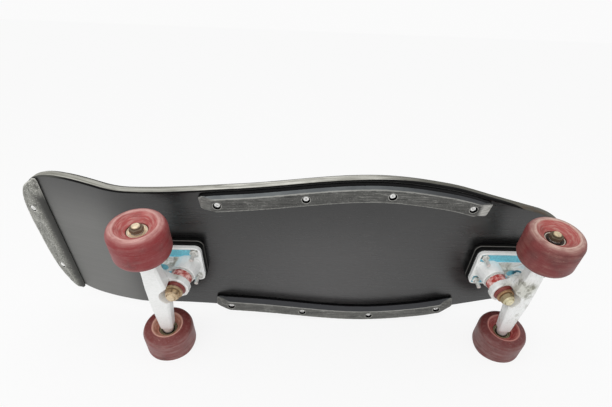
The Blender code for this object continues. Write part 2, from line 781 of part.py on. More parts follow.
def make_guard():
    """Skid plate under the tail's end, thickest along its crest and worn to a slope where it drags."""
    inner = BLANK_END + GUARD_LENGTH
    half = inset(half_outline(), GUARD_INSET)
    kept = [point for point in half if point[0] < inner - MERGE]
    after = half[len(kept)]
    last = kept[-1]
    share = (inner - last[0]) / (after[0] - last[0])
    corner = (inner, last[1] + (after[1] - last[1]) * share)
    outline = [*kept, corner, *[(x, -y) for x, y in reversed([*kept[1:], corner])]]
    guard = outline_plate("tail_guard", outline, -GAP - GUARD_THICKNESS, -GAP, PLASTIC)
    bm = bmesh.new()
    bm.from_mesh(guard.data)
    worn_x = BLANK_END + GUARD_WORN_LENGTH
    bmesh.ops.bisect_plane(
        bm, geom=[*bm.verts, *bm.edges, *bm.faces], dist=MERGE,
        plane_co=(worn_x, 0.0, 0.0), plane_no=(1.0, 0.0, 0.0),
    )
    for vert in bm.verts:
        if vert.co.z < -GAP - GUARD_THICKNESS / 2:
            vert.co.z = -GAP - guard_depth(vert.co.x - BLANK_END)
    road_edges = []
    for edge in bm.edges:
        on_road = all(vert.co.z < -GAP - GUARD_END_THICKNESS / 2 for vert in edge.verts)
        if on_road and edge.is_manifold and edge.calc_face_angle() > math.radians(45.0):
            road_edges.append(edge)
    bmesh.ops.bevel(
        bm, geom=road_edges, offset=GUARD_EDGE_RADIUS, segments=2, profile=0.5, affect="EDGES"
    )
    bm.to_mesh(guard.data)
    bm.free()
    settle(guard)
    bend_object(guard)
    holes = []
    for side in (-1, 1):
        profile = bolt_profile(
            GUARD_SCREW_LENGTH, GUARD_SCREW_RADIUS, GUARD_SCREW_HEAD_RADIUS, GUARD_SCREW_HEAD_HEIGHT,
            SHAFT_CLEARANCE, GUARD_THICKNESS,
        )
        spot = guard_screw_frame(side) @ Matrix.Rotation(math.pi, 4, "X")
        holes.append(turned("guard_hole", profile, SMALL_STEPS, collection=CUTTERS, matrix=spot))
    return cut(guard, *holes)


def make_guard_screws():
    profile = bolt_profile(
        GUARD_SCREW_LENGTH, GUARD_SCREW_RADIUS, GUARD_SCREW_HEAD_RADIUS, GUARD_SCREW_HEAD_HEIGHT
    )
    first = turned("guard_screw_right", profile, SMALL_STEPS, STEEL)
    second = copy_of(first, "guard_screw_left")
    for screw, side in ((first, -1), (second, 1)):
        screw.matrix_world = guard_screw_frame(side) @ Matrix.Rotation(math.pi, 4, "X")


# Truck pieces, in the truck's frame

def base_plate_blank(name, low, high, margin, material, collection=None):
    half = BASE_WIDTH / 2 + margin
    first = (-BASE_BACK - margin, -half, low)
    last = (BASE_FRONT + margin, half, high)
    blank = block(name, first, last, material, collection)
    return round_corners(blank, BASE_CORNER_RADIUS, 3)


def make_baseplate():
    """Flange with side channels, a boss for the kingpin and a slanted one for the pivot cup."""
    base = base_plate_blank("baseplate", BASE_ROAD_FACE, TRUCK_HEIGHT, 0.0, ALUMINIUM)
    channels = []
    for side in (-1, 1):
        near, far = sorted((side * CHANNEL_INNER, side * CHANNEL_OUTER))
        low = (-BASE_BACK + CHANNEL_END_MARGIN, near, BASE_ROAD_FACE - BASE_THICKNESS)
        high = (BASE_FRONT - CHANNEL_END_MARGIN, far, BASE_ROAD_FACE + CHANNEL_DEPTH)
        channel = block("channel", low, high, collection=CUTTERS)
        channels.append(round_corners(channel, CHANNEL_DEPTH, 2))
    cut(base, *channels)

    kingpin = kingpin_frame()
    steering = steering_frame()
    root = TRUCK_HEIGHT - RING_Z
    boss_profile = [(0.0, root), (BOSS_ROOT_RADIUS, root), (BOSS_RADIUS, BOSS_FACE), (0.0, BOSS_FACE)]
    boss = turned("kingpin_boss", boss_profile, FINE_STEPS, collection=CUTTERS, matrix=kingpin)
    pivot_radius = PIVOT_CUP_RADIUS + PIVOT_BOSS_WALL
    pivot_end = PIVOT_CUP_END + PIVOT_CUP_FLOOR
    pivot = rod("pivot_boss", pivot_radius, PIVOT_CUP_MOUTH, pivot_end, ROUND_STEPS, steering)
    rib_half = CHANNEL_INNER / 2
    rib_low = (PIVOT_X, -rib_half, BASE_ROAD_FACE - BASE_THICKNESS)
    rib_high = (RING_X, rib_half, BASE_ROAD_FACE + CHANNEL_DEPTH)
    rib = block("rib", rib_low, rib_high, collection=CUTTERS)
    join(base, boss, pivot, rib)

    span = BASE_FRONT + BASE_BACK
    above = block("above", (-span, -span, TRUCK_HEIGHT), (span, span, 2 * TRUCK_HEIGHT), collection=CUTTERS)
    cuts = [above]
    for x, y in bolt_places():
        spot = Matrix.Translation((x, y, 0.0))
        radius = BOLT_RADIUS + SHAFT_CLEARANCE
        cuts.append(rod("bolt_hole", radius, BASE_ROAD_FACE - span, TRUCK_HEIGHT + span, SMALL_STEPS, spot))
    bore = KINGPIN_RADIUS + SHAFT_CLEARANCE
    head = KINGPIN_HEAD_RADIUS + SHAFT_CLEARANCE
    seat = KINGPIN_TOP - KINGPIN_HEAD_HEIGHT - GAP
    king_profile = [(0.0, span), (head, span), (head, seat), (bore, seat), (bore, 0.0), (0.0, 0.0)]
    cuts.append(turned("kingpin_hole", king_profile, FINE_STEPS, collection=CUTTERS, matrix=kingpin))
    pocket = PIVOT_CUP_RADIUS + GAP
    mouth = PIVOT_CUP_MOUTH - span / 4
    cuts.append(rod("pivot_pocket", pocket, mouth, PIVOT_CUP_END + GAP, FINE_STEPS, steering))
    return cut(base, *cuts)


def make_riser(name, low):
    riser = base_plate_blank(name, low, low + RISER_THICKNESS, RISER_MARGIN, RUBBER)
    holes = []
    for x, y in bolt_places():
        spot = Matrix.Translation((x, y, low))
        reach = 2 * RISER_THICKNESS
        holes.append(rod("hole", BOLT_RADIUS + SHAFT_CLEARANCE, -reach, reach, SMALL_STEPS, spot))
    return cut(riser, *holes)


def make_pivot_cup():
    bore = PIVOT_PIN_RADIUS + SHAFT_CLEARANCE
    floor = PIVOT_CUP_END - PIVOT_CUP_FLOOR
    profile = [
        (0.0, PIVOT_CUP_END), (PIVOT_CUP_RADIUS, PIVOT_CUP_END), (PIVOT_CUP_RADIUS, PIVOT_CUP_MOUTH),
        (bore, PIVOT_CUP_MOUTH), (bore, floor), (0.0, floor),
    ]
    return turned("pivot_cup", profile, FINE_STEPS, CUP, matrix=steering_frame())


def make_kingpin():
    neck = KINGPIN_TOP - KINGPIN_HEAD_HEIGHT
    inside = KINGPIN_TOP - KINGPIN_HEAD_HEIGHT / 2
    tip = KINGPIN_RADIUS - KINGPIN_CHAMFER
    profile = [
        (0.0, inside), (KINGPIN_RADIUS, inside), (KINGPIN_RADIUS, KINGPIN_END + KINGPIN_CHAMFER),
        (tip, KINGPIN_END), (0.0, KINGPIN_END),
    ]
    pin = turned("kingpin", profile, ROUND_STEPS, STEEL)
    head = hexagon("head", KINGPIN_HEAD_RADIUS * math.sqrt(3), neck, KINGPIN_TOP, collection=CUTTERS)
    return join(pin, head)


def washer_profile(bushing_radius):
    """A cupped washer seated at z = 0, with its rim up round the bushing."""
    inner = bushing_radius + GAP
    outer = inner + WASHER_RIM_WIDTH
    bore = KINGPIN_RADIUS + SHAFT_CLEARANCE
    return [
        (outer, WASHER_RIM_HEIGHT), (outer, 0.0), (bore, 0.0),
        (bore, WASHER_THICKNESS), (inner, WASHER_THICKNESS), (inner, WASHER_RIM_HEIGHT),
    ]


def top_bushing_profile():
    """A barrel from z = 0 up, a little wider at its middle."""
    bore = KINGPIN_RADIUS + SHAFT_CLEARANCE
    end = TOP_BUSHING_RADIUS - TOP_BUSHING_EDGE
    height = TOP_BUSHING_HEIGHT
    edge = TOP_BUSHING_EDGE_HEIGHT
    return [
        (end, height), (TOP_BUSHING_RADIUS, height - edge), (TOP_BUSHING_RADIUS, edge),
        (end, 0.0), (bore, 0.0), (bore, height),
    ]


def low_bushing_profile():
    """A cone, from its wide face at z = 0 down to a short straight end in its washer."""
    bore = KINGPIN_RADIUS + SHAFT_CLEARANCE
    height = LOW_BUSHING_HEIGHT
    foot = WASHER_RIM_HEIGHT - WASHER_THICKNESS
    return [
        (LOW_BUSHING_RADIUS, 0.0), (LOW_BUSHING_RADIUS, -LOW_BUSHING_STRAIGHT),
        (LOW_BUSHING_TIP_RADIUS, foot - height), (LOW_BUSHING_TIP_RADIUS, -height),
        (bore, -height), (bore, 0.0),
    ]


def make_truck_bolt():
    """Countersunk bolt with its nut, from the head's top at z = 0 down."""
    length = DECK_UNDERSIDE + DECK_THICKNESS - BOLT_TIP_HEIGHT
    profile = bolt_profile(length, BOLT_RADIUS, BOLT_HEAD_RADIUS, BOLT_HEAD_HEIGHT)
    bolt = turned("truck_bolt", profile, SMALL_STEPS, STEEL)
    seat = DECK_UNDERSIDE + DECK_THICKNESS - (BASE_ROAD_FACE + CHANNEL_DEPTH) + GAP
    nut = hexagon("nut", BOLT_NUT_WIDTH, -seat - BOLT_NUT_HEIGHT, -seat, collection=CUTTERS)
    nut.data.transform(Matrix.Rotation(math.pi / 6, 4, "Z"))
    return join(bolt, nut)


def beam_section(y, back, front, bottom, top):
    """A chamfered rectangle across the beam."""
    cut_size = BEAM_CHAMFER * min(front + back, top + bottom) / 2
    corners = (
        (-back, -bottom + cut_size), (-back + cut_size, -bottom), (front - cut_size, -bottom),
        (front, -bottom + cut_size), (front, top - cut_size), (front - cut_size, top),
        (-back + cut_size, top), (-back, top - cut_size),
    )
    return [(x, y, z) for x, z in corners]


def make_hanger():
    """Cast hanger: a tapered beam over the axle, a ring for the bushings and a pivot nose."""
    sections = [beam_section(-y, *rest) for y, *rest in reversed(BEAM_SECTIONS)]
    sections += [beam_section(y, *rest) for y, *rest in BEAM_SECTIONS]
    hanger = loft("hanger", sections, ALUMINIUM)

    kingpin = kingpin_frame()
    steering = steering_frame()
    arm = rod("arm_ends", ARM_END_RADIUS, -ARM_LENGTH, ARM_LENGTH, FINE_STEPS, along_axle())
    ring_points = []
    for index in range(FINE_STEPS // 2 + 1):
        angle = math.radians(-100.0 + 200.0 * index / (FINE_STEPS // 2))
        ring_points.append((RING_RADIUS * math.cos(angle), RING_RADIUS * math.sin(angle)))
    web_points = [*ring_points, (-WEB_REACH, WEB_HALF_WIDTH), (-WEB_REACH, -WEB_HALF_WIDTH)]
    web = outline_plate("web", web_points, -RING_FACE, RING_FACE, collection=CUTTERS)
    web.data.transform(kingpin)
    neck_z = RING_Z + NECK_END * math.sin(STEERING_ANGLE)
    gusset_points = [(-GUSSET_FOOT, 0.0), (GUSSET_FOOT, 0.0), (GUSSET_TOP, neck_z), (-GUSSET_TOP, neck_z)]
    gusset = outline_plate("gusset", gusset_points, -GUSSET_BACK, GUSSET_FRONT, collection=CUTTERS)
    upright = Matrix(((0.0, 0.0, 1.0), (1.0, 0.0, 0.0), (0.0, 1.0, 0.0))).to_4x4()
    gusset.data.transform(upright)
    neck_profile = [
        (0.0, PIVOT_PIN_END), (PIVOT_PIN_RADIUS - PIVOT_PIN_CHAMFER, PIVOT_PIN_END),
        (PIVOT_PIN_RADIUS, PIVOT_PIN_END - PIVOT_PIN_CHAMFER),
        (PIVOT_PIN_RADIUS, NECK_END), (NECK_RADIUS, NECK_START), (0.0, NECK_START),
    ]
    neck = turned("neck", neck_profile, ROUND_STEPS, collection=CUTTERS, matrix=steering)
    join(hanger, arm, gusset, neck)

    reach = BASE_FRONT
    inside = RING_FACE / 2
    low_relief = rod("low_relief", LOW_RELIEF_RADIUS, -reach, -inside, FINE_STEPS, kingpin)
    top_radius = TOP_RELIEF_RADIUS + TOP_RELIEF_SPREAD * reach
    top_profile = [
        (0.0, reach + RING_FACE), (top_radius, reach + RING_FACE),
        (TOP_RELIEF_RADIUS, RING_FACE), (TOP_RELIEF_RADIUS, inside), (0.0, inside),
    ]
    top_relief = turned("top_relief", top_profile, FINE_STEPS, collection=CUTTERS, matrix=kingpin)
    cut(hanger, low_relief, top_relief)
    join(hanger, web)

    seat = RING_FACE - RING_SEAT_DEPTH
    bore_profile = [
        (0.0, RING_THICKNESS), (TOP_BUSHING_RADIUS + GAP, RING_THICKNESS), (TOP_BUSHING_RADIUS + GAP, seat),
        (RING_BORE_RADIUS, seat), (RING_BORE_RADIUS, -seat), (LOW_BUSHING_RADIUS + GAP, -seat),
        (LOW_BUSHING_RADIUS + GAP, -RING_THICKNESS), (0.0, -RING_THICKNESS),
    ]
    bore = turned("ring_bore", bore_profile, FINE_STEPS, collection=CUTTERS, matrix=kingpin)
    axle_hole = rod(
        "axle_hole", AXLE_RADIUS + SHAFT_CLEARANCE, -TRACK, TRACK, ROUND_STEPS, along_axle()
    )
    return cut(hanger, bore, axle_hole)


def make_axle():
    chamfer = AXLE_CHAMFER
    half = AXLE_HALF_LENGTH
    profile = [
        (0.0, half), (AXLE_RADIUS - chamfer, half), (AXLE_RADIUS, half - chamfer),
        (AXLE_RADIUS, chamfer - half), (AXLE_RADIUS - chamfer, -half), (0.0, -half),
    ]
    return turned("axle", profile, ROUND_STEPS, STEEL)


def sleeve_profile():
    """Inner races, spacer and speed washers on one stretch of axle, from its middle."""
    bore = AXLE_RADIUS + SHAFT_CLEARANCE
    race = SPACER_LENGTH / 2
    side = [(INNER_RACE_RADIUS, SLEEVE_HALF_LENGTH), (INNER_RACE_RADIUS, race), (SPACER_RADIUS, race)]
    mirrored = [(radius, -z) for radius, z in reversed(side)]
    return [*side, *mirrored, (bore, -SLEEVE_HALF_LENGTH), (bore, SLEEVE_HALF_LENGTH)]


def outer_race_profile():
    """Outer race with its shield, set back on the face at the top."""
    half = BEARING_WIDTH / 2
    shield = half - BEARING_SHIELD_RECESS
    return [
        (BEARING_RADIUS, half), (BEARING_RADIUS, -half), (BEARING_SHIELD_RADIUS, -half),
        (BEARING_SHIELD_RADIUS, shield), (BEARING_RACE_RADIUS, shield), (BEARING_RACE_RADIUS, half),
    ]


def wheel_profile():
    """Wheel with a wide dish on its outer face, at the top, and a small one on its inner face."""
    half = WHEEL_WIDTH / 2
    seat = BEARING_RADIUS + GAP
    shoulder = SPACER_LENGTH / 2 - GAP
    lip = half - WHEEL_DISH_DEPTH
    edge_start = WHEEL_RADIUS - WHEEL_EDGE_WIDTH
    side = []
    for index in range(EDGE_STEPS + 1):
        angle = math.pi / 2 * index / EDGE_STEPS
        radius = edge_start + WHEEL_EDGE_WIDTH * math.sin(angle)
        side.append((radius, half - WHEEL_EDGE_DEPTH * (1 - math.cos(angle))))
    faces = []
    for rim in (WHEEL_RIM_RADIUS, WHEEL_INNER_RIM_RADIUS):
        faces.append([
            (WHEEL_HUB_RADIUS, shoulder), (seat, shoulder), (seat, lip - WHEEL_LIP),
            (WHEEL_DISH_RADIUS, lip), (rim - WHEEL_RIM_BEVEL, half - WHEEL_RIM_BEVEL), (rim, half),
        ])
    outer_face, inner_face = faces
    lower_side = [(radius, -z) for radius, z in reversed(side)]
    lower_face = [(radius, -z) for radius, z in reversed(inner_face)]
    return [*side, *lower_side, *lower_face, *outer_face]


# Assembly

def fit_truck(end, axle_x, turn):
    """Copy every truck piece to one end. Wheels turn on empties that steer with the hanger."""
    truck = new_empty(end + "_truck", matrix=Matrix.Translation((axle_x, 0.0, WHEEL_RADIUS)) @ turn)
    kingpin = kingpin_frame()
    flip = Matrix.Rotation(math.pi, 4, "X")
    for part_name in ("baseplate", "riser_low", "riser_high", "pivot_cup"):
        place(copy_of(MASTERS[part_name], end + "_" + part_name), truck)
    along_kingpin = (
        ("kingpin", kingpin),
        ("kingpin_nut", kingpin @ Matrix.Translation((0.0, 0.0, KINGPIN_NUT_FACE)) @ flip),
        ("top_bushing", kingpin @ Matrix.Translation((0.0, 0.0, SEAT))),
        ("low_bushing", kingpin @ Matrix.Translation((0.0, 0.0, -SEAT))),
        ("top_washer", kingpin @ Matrix.Translation((0.0, 0.0, TOP_WASHER + WASHER_THICKNESS)) @ flip),
        ("low_washer", kingpin @ Matrix.Translation((0.0, 0.0, LOW_WASHER - WASHER_THICKNESS))),
    )
    for part_name, spot in along_kingpin:
        place(copy_of(MASTERS[part_name], end + "_" + part_name), truck, spot)
    bolt_top = DECK_UNDERSIDE + DECK_THICKNESS
    for index, (x, y) in enumerate(bolt_places()):
        bolt = copy_of(MASTERS["truck_bolt"], "%s_bolt_%d" % (end, index + 1))
        place(bolt, truck, Matrix.Translation((x, y, bolt_top)))

    steering = steering_frame()
    to_steering = steering.inverted()
    hanger_joint = new_empty(end + "_steering_axis", truck, steering)
    place(copy_of(MASTERS["hanger"], end + "_hanger"), hanger_joint, to_steering)
    place(copy_of(MASTERS["axle"], end + "_axle"), hanger_joint, to_steering @ along_axle())
    facing = 1 if end == "tail" else -1
    for side_name, side in (("right", -facing), ("left", facing)):
        outwards = Matrix.Identity(4) if side > 0 else flip
        prefix = end + "_" + side_name
        nut_spot = to_steering @ along_axle(side * AXLE_NUT_FACE) @ outwards
        place(copy_of(MASTERS["axle_nut"], prefix + "_axle_nut"), hanger_joint, nut_spot)
        wheel_spot = to_steering @ along_axle(side * TRACK / 2) @ outwards
        place(copy_of(MASTERS["sleeve"], prefix + "_sleeve"), hanger_joint, wheel_spot)
        spin = new_empty(prefix + "_spin_axis", hanger_joint, wheel_spot)
        place(copy_of(MASTERS["wheel"], prefix + "_wheel"), spin)
        race_offset = SPACER_LENGTH / 2 + BEARING_WIDTH / 2
        outer_spot = Matrix.Translation((0.0, 0.0, race_offset))
        inner_spot = Matrix.Translation((0.0, 0.0, -race_offset)) @ flip
        place(copy_of(MASTERS["outer_race"], prefix + "_outer_bearing"), spin, outer_spot)
        place(copy_of(MASTERS["outer_race"], prefix + "_inner_bearing"), spin, inner_spot)


make_deck()
make_grip()
make_guard()
make_guard_screws()
make_rail("left_rail", 1)
make_rail("right_rail", -1)

MASTERS = {
    "baseplate": make_baseplate(),
    "riser_low": make_riser("riser_low", RISER_LOW),
    "riser_high": make_riser("riser_high", RISER_HIGH),
    "pivot_cup": make_pivot_cup(),
    "kingpin": make_kingpin(),
    "kingpin_nut": lock_nut(
        "kingpin_nut", KINGPIN_NUT_WIDTH, KINGPIN_NUT_HEIGHT, KINGPIN_RADIUS + SHAFT_CLEARANCE, ZINC
    ),
    "top_bushing": turned("top_bushing", top_bushing_profile(), FINE_STEPS, BUSHING),
    "low_bushing": turned("low_bushing", low_bushing_profile(), FINE_STEPS, BUSHING),
    "top_washer": turned("top_washer", washer_profile(TOP_BUSHING_RADIUS), FINE_STEPS, ZINC),
    "low_washer": turned("low_washer", washer_profile(LOW_BUSHING_TIP_RADIUS), FINE_STEPS, ZINC),
    "truck_bolt": make_truck_bolt(),
    "hanger": make_hanger(),
    "axle": make_axle(),
    "axle_nut": lock_nut("axle_nut", AXLE_NUT_WIDTH, AXLE_NUT_HEIGHT, AXLE_RADIUS + SHAFT_CLEARANCE, ZINC),
    "sleeve": turned("sleeve", sleeve_profile(), ROUND_STEPS, STEEL),
    "outer_race": turned("outer_race", outer_race_profile(), FINE_STEPS, STEEL),
    "wheel": turned("wheel", wheel_profile(), WHEEL_STEPS, URETHANE),
}
fit_truck("tail", TAIL_AXLE_X, Matrix.Identity(4))
fit_truck("nose", NOSE_AXLE_X, Matrix.Rotation(math.pi, 4, "Z"))
for master in MASTERS.values():
    bpy.data.objects.remove(master)
bpy.data.collections.remove(CUTTERS)
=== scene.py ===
"""An old wooden skateboard on its side, seen from underneath: black deck, worn plastic rails and tail
guard, cast trucks with red bushings, and wide red wheels.

Units are metres. +X points to the nose, +Y to the rider's left and +Z up. Every piece is made in its
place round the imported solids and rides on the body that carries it. Sides are 1 for the left and -1 for
the right. Colours are given as they look on a screen, 0 to 255.
"""
import math

import bmesh
import bpy
import numpy as np
from mathutils import Matrix, Vector, noise


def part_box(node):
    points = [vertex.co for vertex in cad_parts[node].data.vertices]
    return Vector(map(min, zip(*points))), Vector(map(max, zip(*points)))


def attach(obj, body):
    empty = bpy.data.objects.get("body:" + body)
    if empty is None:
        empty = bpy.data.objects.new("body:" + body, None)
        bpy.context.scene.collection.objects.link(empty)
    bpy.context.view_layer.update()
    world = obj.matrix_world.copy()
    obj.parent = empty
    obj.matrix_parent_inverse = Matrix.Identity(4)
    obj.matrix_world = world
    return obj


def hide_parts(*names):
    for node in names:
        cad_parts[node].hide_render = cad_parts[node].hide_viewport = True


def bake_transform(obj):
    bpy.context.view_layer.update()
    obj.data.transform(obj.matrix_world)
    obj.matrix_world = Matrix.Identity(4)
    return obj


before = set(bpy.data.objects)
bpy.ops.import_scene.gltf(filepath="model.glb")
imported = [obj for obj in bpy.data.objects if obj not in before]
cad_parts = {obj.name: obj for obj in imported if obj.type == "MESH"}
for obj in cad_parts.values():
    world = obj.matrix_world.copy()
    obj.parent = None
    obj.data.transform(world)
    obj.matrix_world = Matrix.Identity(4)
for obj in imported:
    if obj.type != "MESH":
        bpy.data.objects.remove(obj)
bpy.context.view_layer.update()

# Deck, measured on the flat blank from the end of the tail
DECK_LENGTH = 0.6937
DECK_THICKNESS = 0.011
DECK_EDGE = 0.003
PLIES = 7
TAIL_OVERHANG = 0.1807
STATIONS = (                        # distance from the tail's end, and half width
    (0.0, 0.100), (0.076, 0.105), (0.155, 0.099), (0.277, 0.1075), (0.433, 0.124),
    (0.517, 0.1148), (0.578, 0.098), (0.622, 0.0853), (DECK_LENGTH, 0.0655),
)
TAIL_ROUND = (0.075, 3.3, 26)       # length, power and points of the rounding of each end
NOSE_ROUND = (0.062, 2.2, 22)
SIDE_POINTS = 60
KICK_START = 0.033
KICK_RADIUS = 0.120
KICK_ANGLE = math.radians(15.5)
KICK_STRIPS = 14
GRIP_INSET = 0.0015
GRIP_TOP = 0.0011                   # above the wood
GRIP_HOLE = 0.0058

# Rails and tail guard
RAIL_LENGTH = 0.341
RAIL_SHIFT = 0.0015
RAIL_WIDTH = 0.0225
RAIL_FACE = 0.018
RAIL_HEIGHT = 0.012
RAIL_SIDE = 0.0040
RAIL_SLANT = (RAIL_WIDTH - RAIL_FACE) / 2 / (RAIL_HEIGHT - RAIL_SIDE)
RAIL_INSET = 0.0140
RAIL_RAMP = 0.0175
RAIL_TIP = 0.0040                   # blunt height of each end
RAIL_NOSES = {-1: (0.0125, 0.50), 1: (0.0110, 0.36)}    # tail, nose end: length, share cut off its width
RAIL_LEAN = 0.0058                  # longer by this on the inner side, at the nose end
RAIL_BLACK_BANDS = {-1: 0.0062, 1: 0.0030}     # by side: how far from the wood its flanks stay black, as unworn plastic and as painted shade
RAIL_STEPS = 70
RAIL_PITCH = 0.099
RAIL_SCREWS = 4
RAIL_HOLE = (0.0046, 0.0045)        # radius and depth of the counterbore
GUARD_LENGTH = 0.0365
GUARD_INSET = 0.0010
GUARD_THICKNESS = 0.0075
GUARD_INNER = 0.0016                # thickness at its inner edge and at the board's end
GUARD_END = 0.0036
GUARD_SKEW = 0.0045                 # shorter by this on the left
GUARD_WORN = 0.0240                 # from the end to where it starts to round off
GUARD_STRIPS = 9
GUARD_SCREW_X = 0.0160
GUARD_SCREW_Y = 0.051
GUARD_HOLE = 0.0045
SCREW_NECK = 0.0021
PLASTIC_GRID = 0.00065              # size of the faces that softened pieces are rebuilt in
CASTING_GRID = 0.0005
RISER_GRID = 0.0006

# Trucks, from the axle's centre towards the middle of the board
GAP = 0.0003
WHEEL_RADIUS = 0.0305
INNER_RIMS = {
    ("tail", "right"): 0.0180, ("tail", "left"): 0.0180,
    ("nose", "right"): 0.0180, ("nose", "left"): 0.0195,
}
TRACK = 0.170
AXLE_RADIUS = 0.004
SLEEVE = 0.01295                    # half the stretch of axle inside a wheel
BEARING = (0.0110, 0.0035)          # radius and half width
BEARING_PLACE = 0.00865
NUT_FACE = TRACK / 2 + SLEEVE + GAP
AXLE_NUT = (0.0127, 0.0058)         # across flats and height
AXLE_HALF = NUT_FACE + AXLE_NUT[1] + 0.0011
RING_X = 0.021
RING_Z = 0.0105
PIVOT_X = -0.015
PIVOT_Z = 0.0355
STEERING_TILT = math.atan2(PIVOT_Z - RING_Z, RING_X - PIVOT_X)
KINGPIN_TILT = math.radians(10.0)
KINGPIN_RADIUS = 0.00475
KINGPIN_HEAD = (0.0079, 0.0322, 0.0374)     # radius, foot and top
KINGPIN_BORE = KINGPIN_RADIUS + GAP
KINGPIN_NUT = (0.0143, 0.0074)
THREAD_PITCH = 0.0008
THREAD_DEPTH = 0.0003
BUSHING_SEAT = 0.0033
TOP_BUSHING = (0.0123, 0.0117)      # radius and height
LOW_BUSHING = (0.0116, 0.0058)
LOW_BUSHING_TIP = 0.0093
WASHER = 0.0014
WASHER_RIM = 0.0026
TOP_WASHER_Z = BUSHING_SEAT + TOP_BUSHING[1] + GAP
LOW_WASHER_Z = -(BUSHING_SEAT + LOW_BUSHING[1] + GAP)
KINGPIN_NUT_Z = LOW_WASHER_Z - WASHER - GAP
KINGPIN_END = KINGPIN_NUT_Z - KINGPIN_NUT[1] - 0.0025
BASE = (0.045, 0.028, 0.0284)       # front, back and half width of the baseplate
BASE_FACE = 0.0435
BASE_TOP = 0.0493
BASE_RIM = 0.0032
CHANNEL = (0.0130, 0.0260, 0.0023)  # a side channel's inner and outer Y, and its depth
PAINT_HOLLOW = (-0.0020, -0.0010, 0.0075, 0.0062, 0.0377)   # centre, reach in X and Y, height
RISER = 0.0055
RISER_RIM = 0.0014                  # wider by this than the baseplate
RISER_CORNER = 0.0082
RISER_LOW = BASE_TOP + GAP
RISER_HIGH = RISER_LOW + RISER + GAP
DECK_UNDER = RISER_HIGH + RISER + GAP
BOLT_SPOTS = [(x, y) for x in (0.036, -0.018) for y in (-0.02065, 0.02065)]
BOLT_RADIUS = 0.0024
BOLT_HEAD = (0.0046, 0.0050)        # radius of the head and of its hole
BOLT_TIP = 0.0310
BOLT_NUT = (0.0087, 0.0042)

TAIL_X = sum(corner.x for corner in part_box("tail_axle")) / 2
NOSE_X = sum(corner.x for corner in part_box("nose_axle")) / 2
BLANK_END = TAIL_X - TAIL_OVERHANG
KICK_X = TAIL_X - KICK_START
DECK_Z = WHEEL_RADIUS + DECK_UNDER
RAIL_MIDDLE = (TAIL_X + NOSE_X) / 2 + RAIL_SHIFT
ROAD = np.array((0.0, 0.0, -1.0))   # the way to the road
FLIP = Matrix.Rotation(math.pi, 4, "X")
MERGE = 0.00001
DEEP = 0.02                         # further than any hole goes


def raised(height):
    return Matrix.Translation((0.0, 0.0, height))


TRUCKS = {
    "tail": Matrix.Translation((TAIL_X, 0.0, WHEEL_RADIUS)),
    "nose": Matrix.Translation((NOSE_X, 0.0, WHEEL_RADIUS)) @ Matrix.Rotation(math.pi, 4, "Z"),
}
RING = Matrix.Translation((RING_X, 0.0, RING_Z))
KINGPIN = RING @ Matrix.Rotation(KINGPIN_TILT, 4, "Y")
STEERING = RING @ Matrix.Rotation(STEERING_TILT - math.pi / 2, 4, "Y")


# Nodes

def tone(red, green, blue, dim=1.0):
    """A colour of the screen as the linear colour that a shader takes."""
    shares = [value / 255 for value in (red, green, blue)]
    linear = [share / 12.92 if share < 0.04045 else ((share + 0.055) / 1.055) ** 2.4 for share in shares]
    return (*[dim * value for value in linear], 1.0)


class Field:
    """What comes out of a node. Each sum or step with it adds a node to the same tree."""

    def __init__(self, socket):
        self.socket = socket
        self.tree = socket.id_data

    def then(self, kind, inputs=None, **settings):
        """Feed it to a new node, and give what comes out of that."""
        return field(self.tree, kind, {0: self, **(inputs or {})}, **settings)

    def into(self, target):
        self.tree.links.new(self.socket, target)

    def sums(self, operation, *others, clamp=False):
        return self.then("ShaderNodeMath", dict(enumerate(others, 1)), operation=operation, use_clamp=clamp)

    def __add__(self, other):
        return self.sums("ADD", other)

    def __sub__(self, other):
        return self.sums("SUBTRACT", other)

    def __rsub__(self, other):
        return self.then("ShaderNodeMath", {0: other, 1: self}, operation="SUBTRACT")

    def __mul__(self, other):
        return self.sums("MULTIPLY", other)

    def __truediv__(self, other):
        return self.sums("DIVIDE", other)

    def __neg__(self):
        return self * -1.0

    def __abs__(self):
        return self.sums("ABSOLUTE")

    def most(self, other):
        return self.sums("MAXIMUM", other)

    def ramp(self, low, high, to_low=0.0, to_high=1.0):
        """Eased from one value to another while this goes from low to high."""
        inputs = {1: low, 2: high, 3: to_low, 4: to_high}
        return self.then("ShaderNodeMapRange", inputs, interpolation_type="SMOOTHSTEP")

    def near(self, middle, width):
        """1 at the middle value, fading to 0 this far from it."""
        return abs(self - middle).ramp(width, 0.0)

    def scaled(self, by):
        return self.then("ShaderNodeVectorMath", {1: by}, operation="MULTIPLY")

    def moved(self, by):
        return self.then("ShaderNodeVectorMath", {1: by}, operation="ADD")

    def split(self):
        return [Field(part) for part in put(self.tree, "ShaderNodeSeparateXYZ", {0: self}).outputs]

    def cloud(self, scale=1.0, detail=4.0, roughness=0.55):
        inputs = {"Scale": scale, "Detail": detail, "Roughness": roughness}
        return self.then("ShaderNodeTexNoise", inputs)


def fill(node, inputs):
    """Wire or set a node's inputs."""
    for name, value in inputs.items():
        if isinstance(value, Field):
            value.into(node.inputs[name])
        else:
            node.inputs[name].default_value = value


def put(tree, kind, inputs=None, **settings):
    """Add a node, set it, and fill its inputs."""
    made = tree.nodes.new(kind)
    for name, value in settings.items():
        setattr(made, name, value)
    fill(made, inputs or {})
    return made


def field(tree, kind, inputs=None, output=0, **settings):
    """Add a node, and give what comes out of it."""
    return Field(put(tree, kind, inputs, **settings).outputs[output])


def attribute(tree, name, output="Fac"):
    return field(tree, "ShaderNodeAttribute", output=output, attribute_name=name)


def between(mask, low, high):
    return mask.then("ShaderNodeMix", {2: low, 3: high}, data_type="FLOAT")


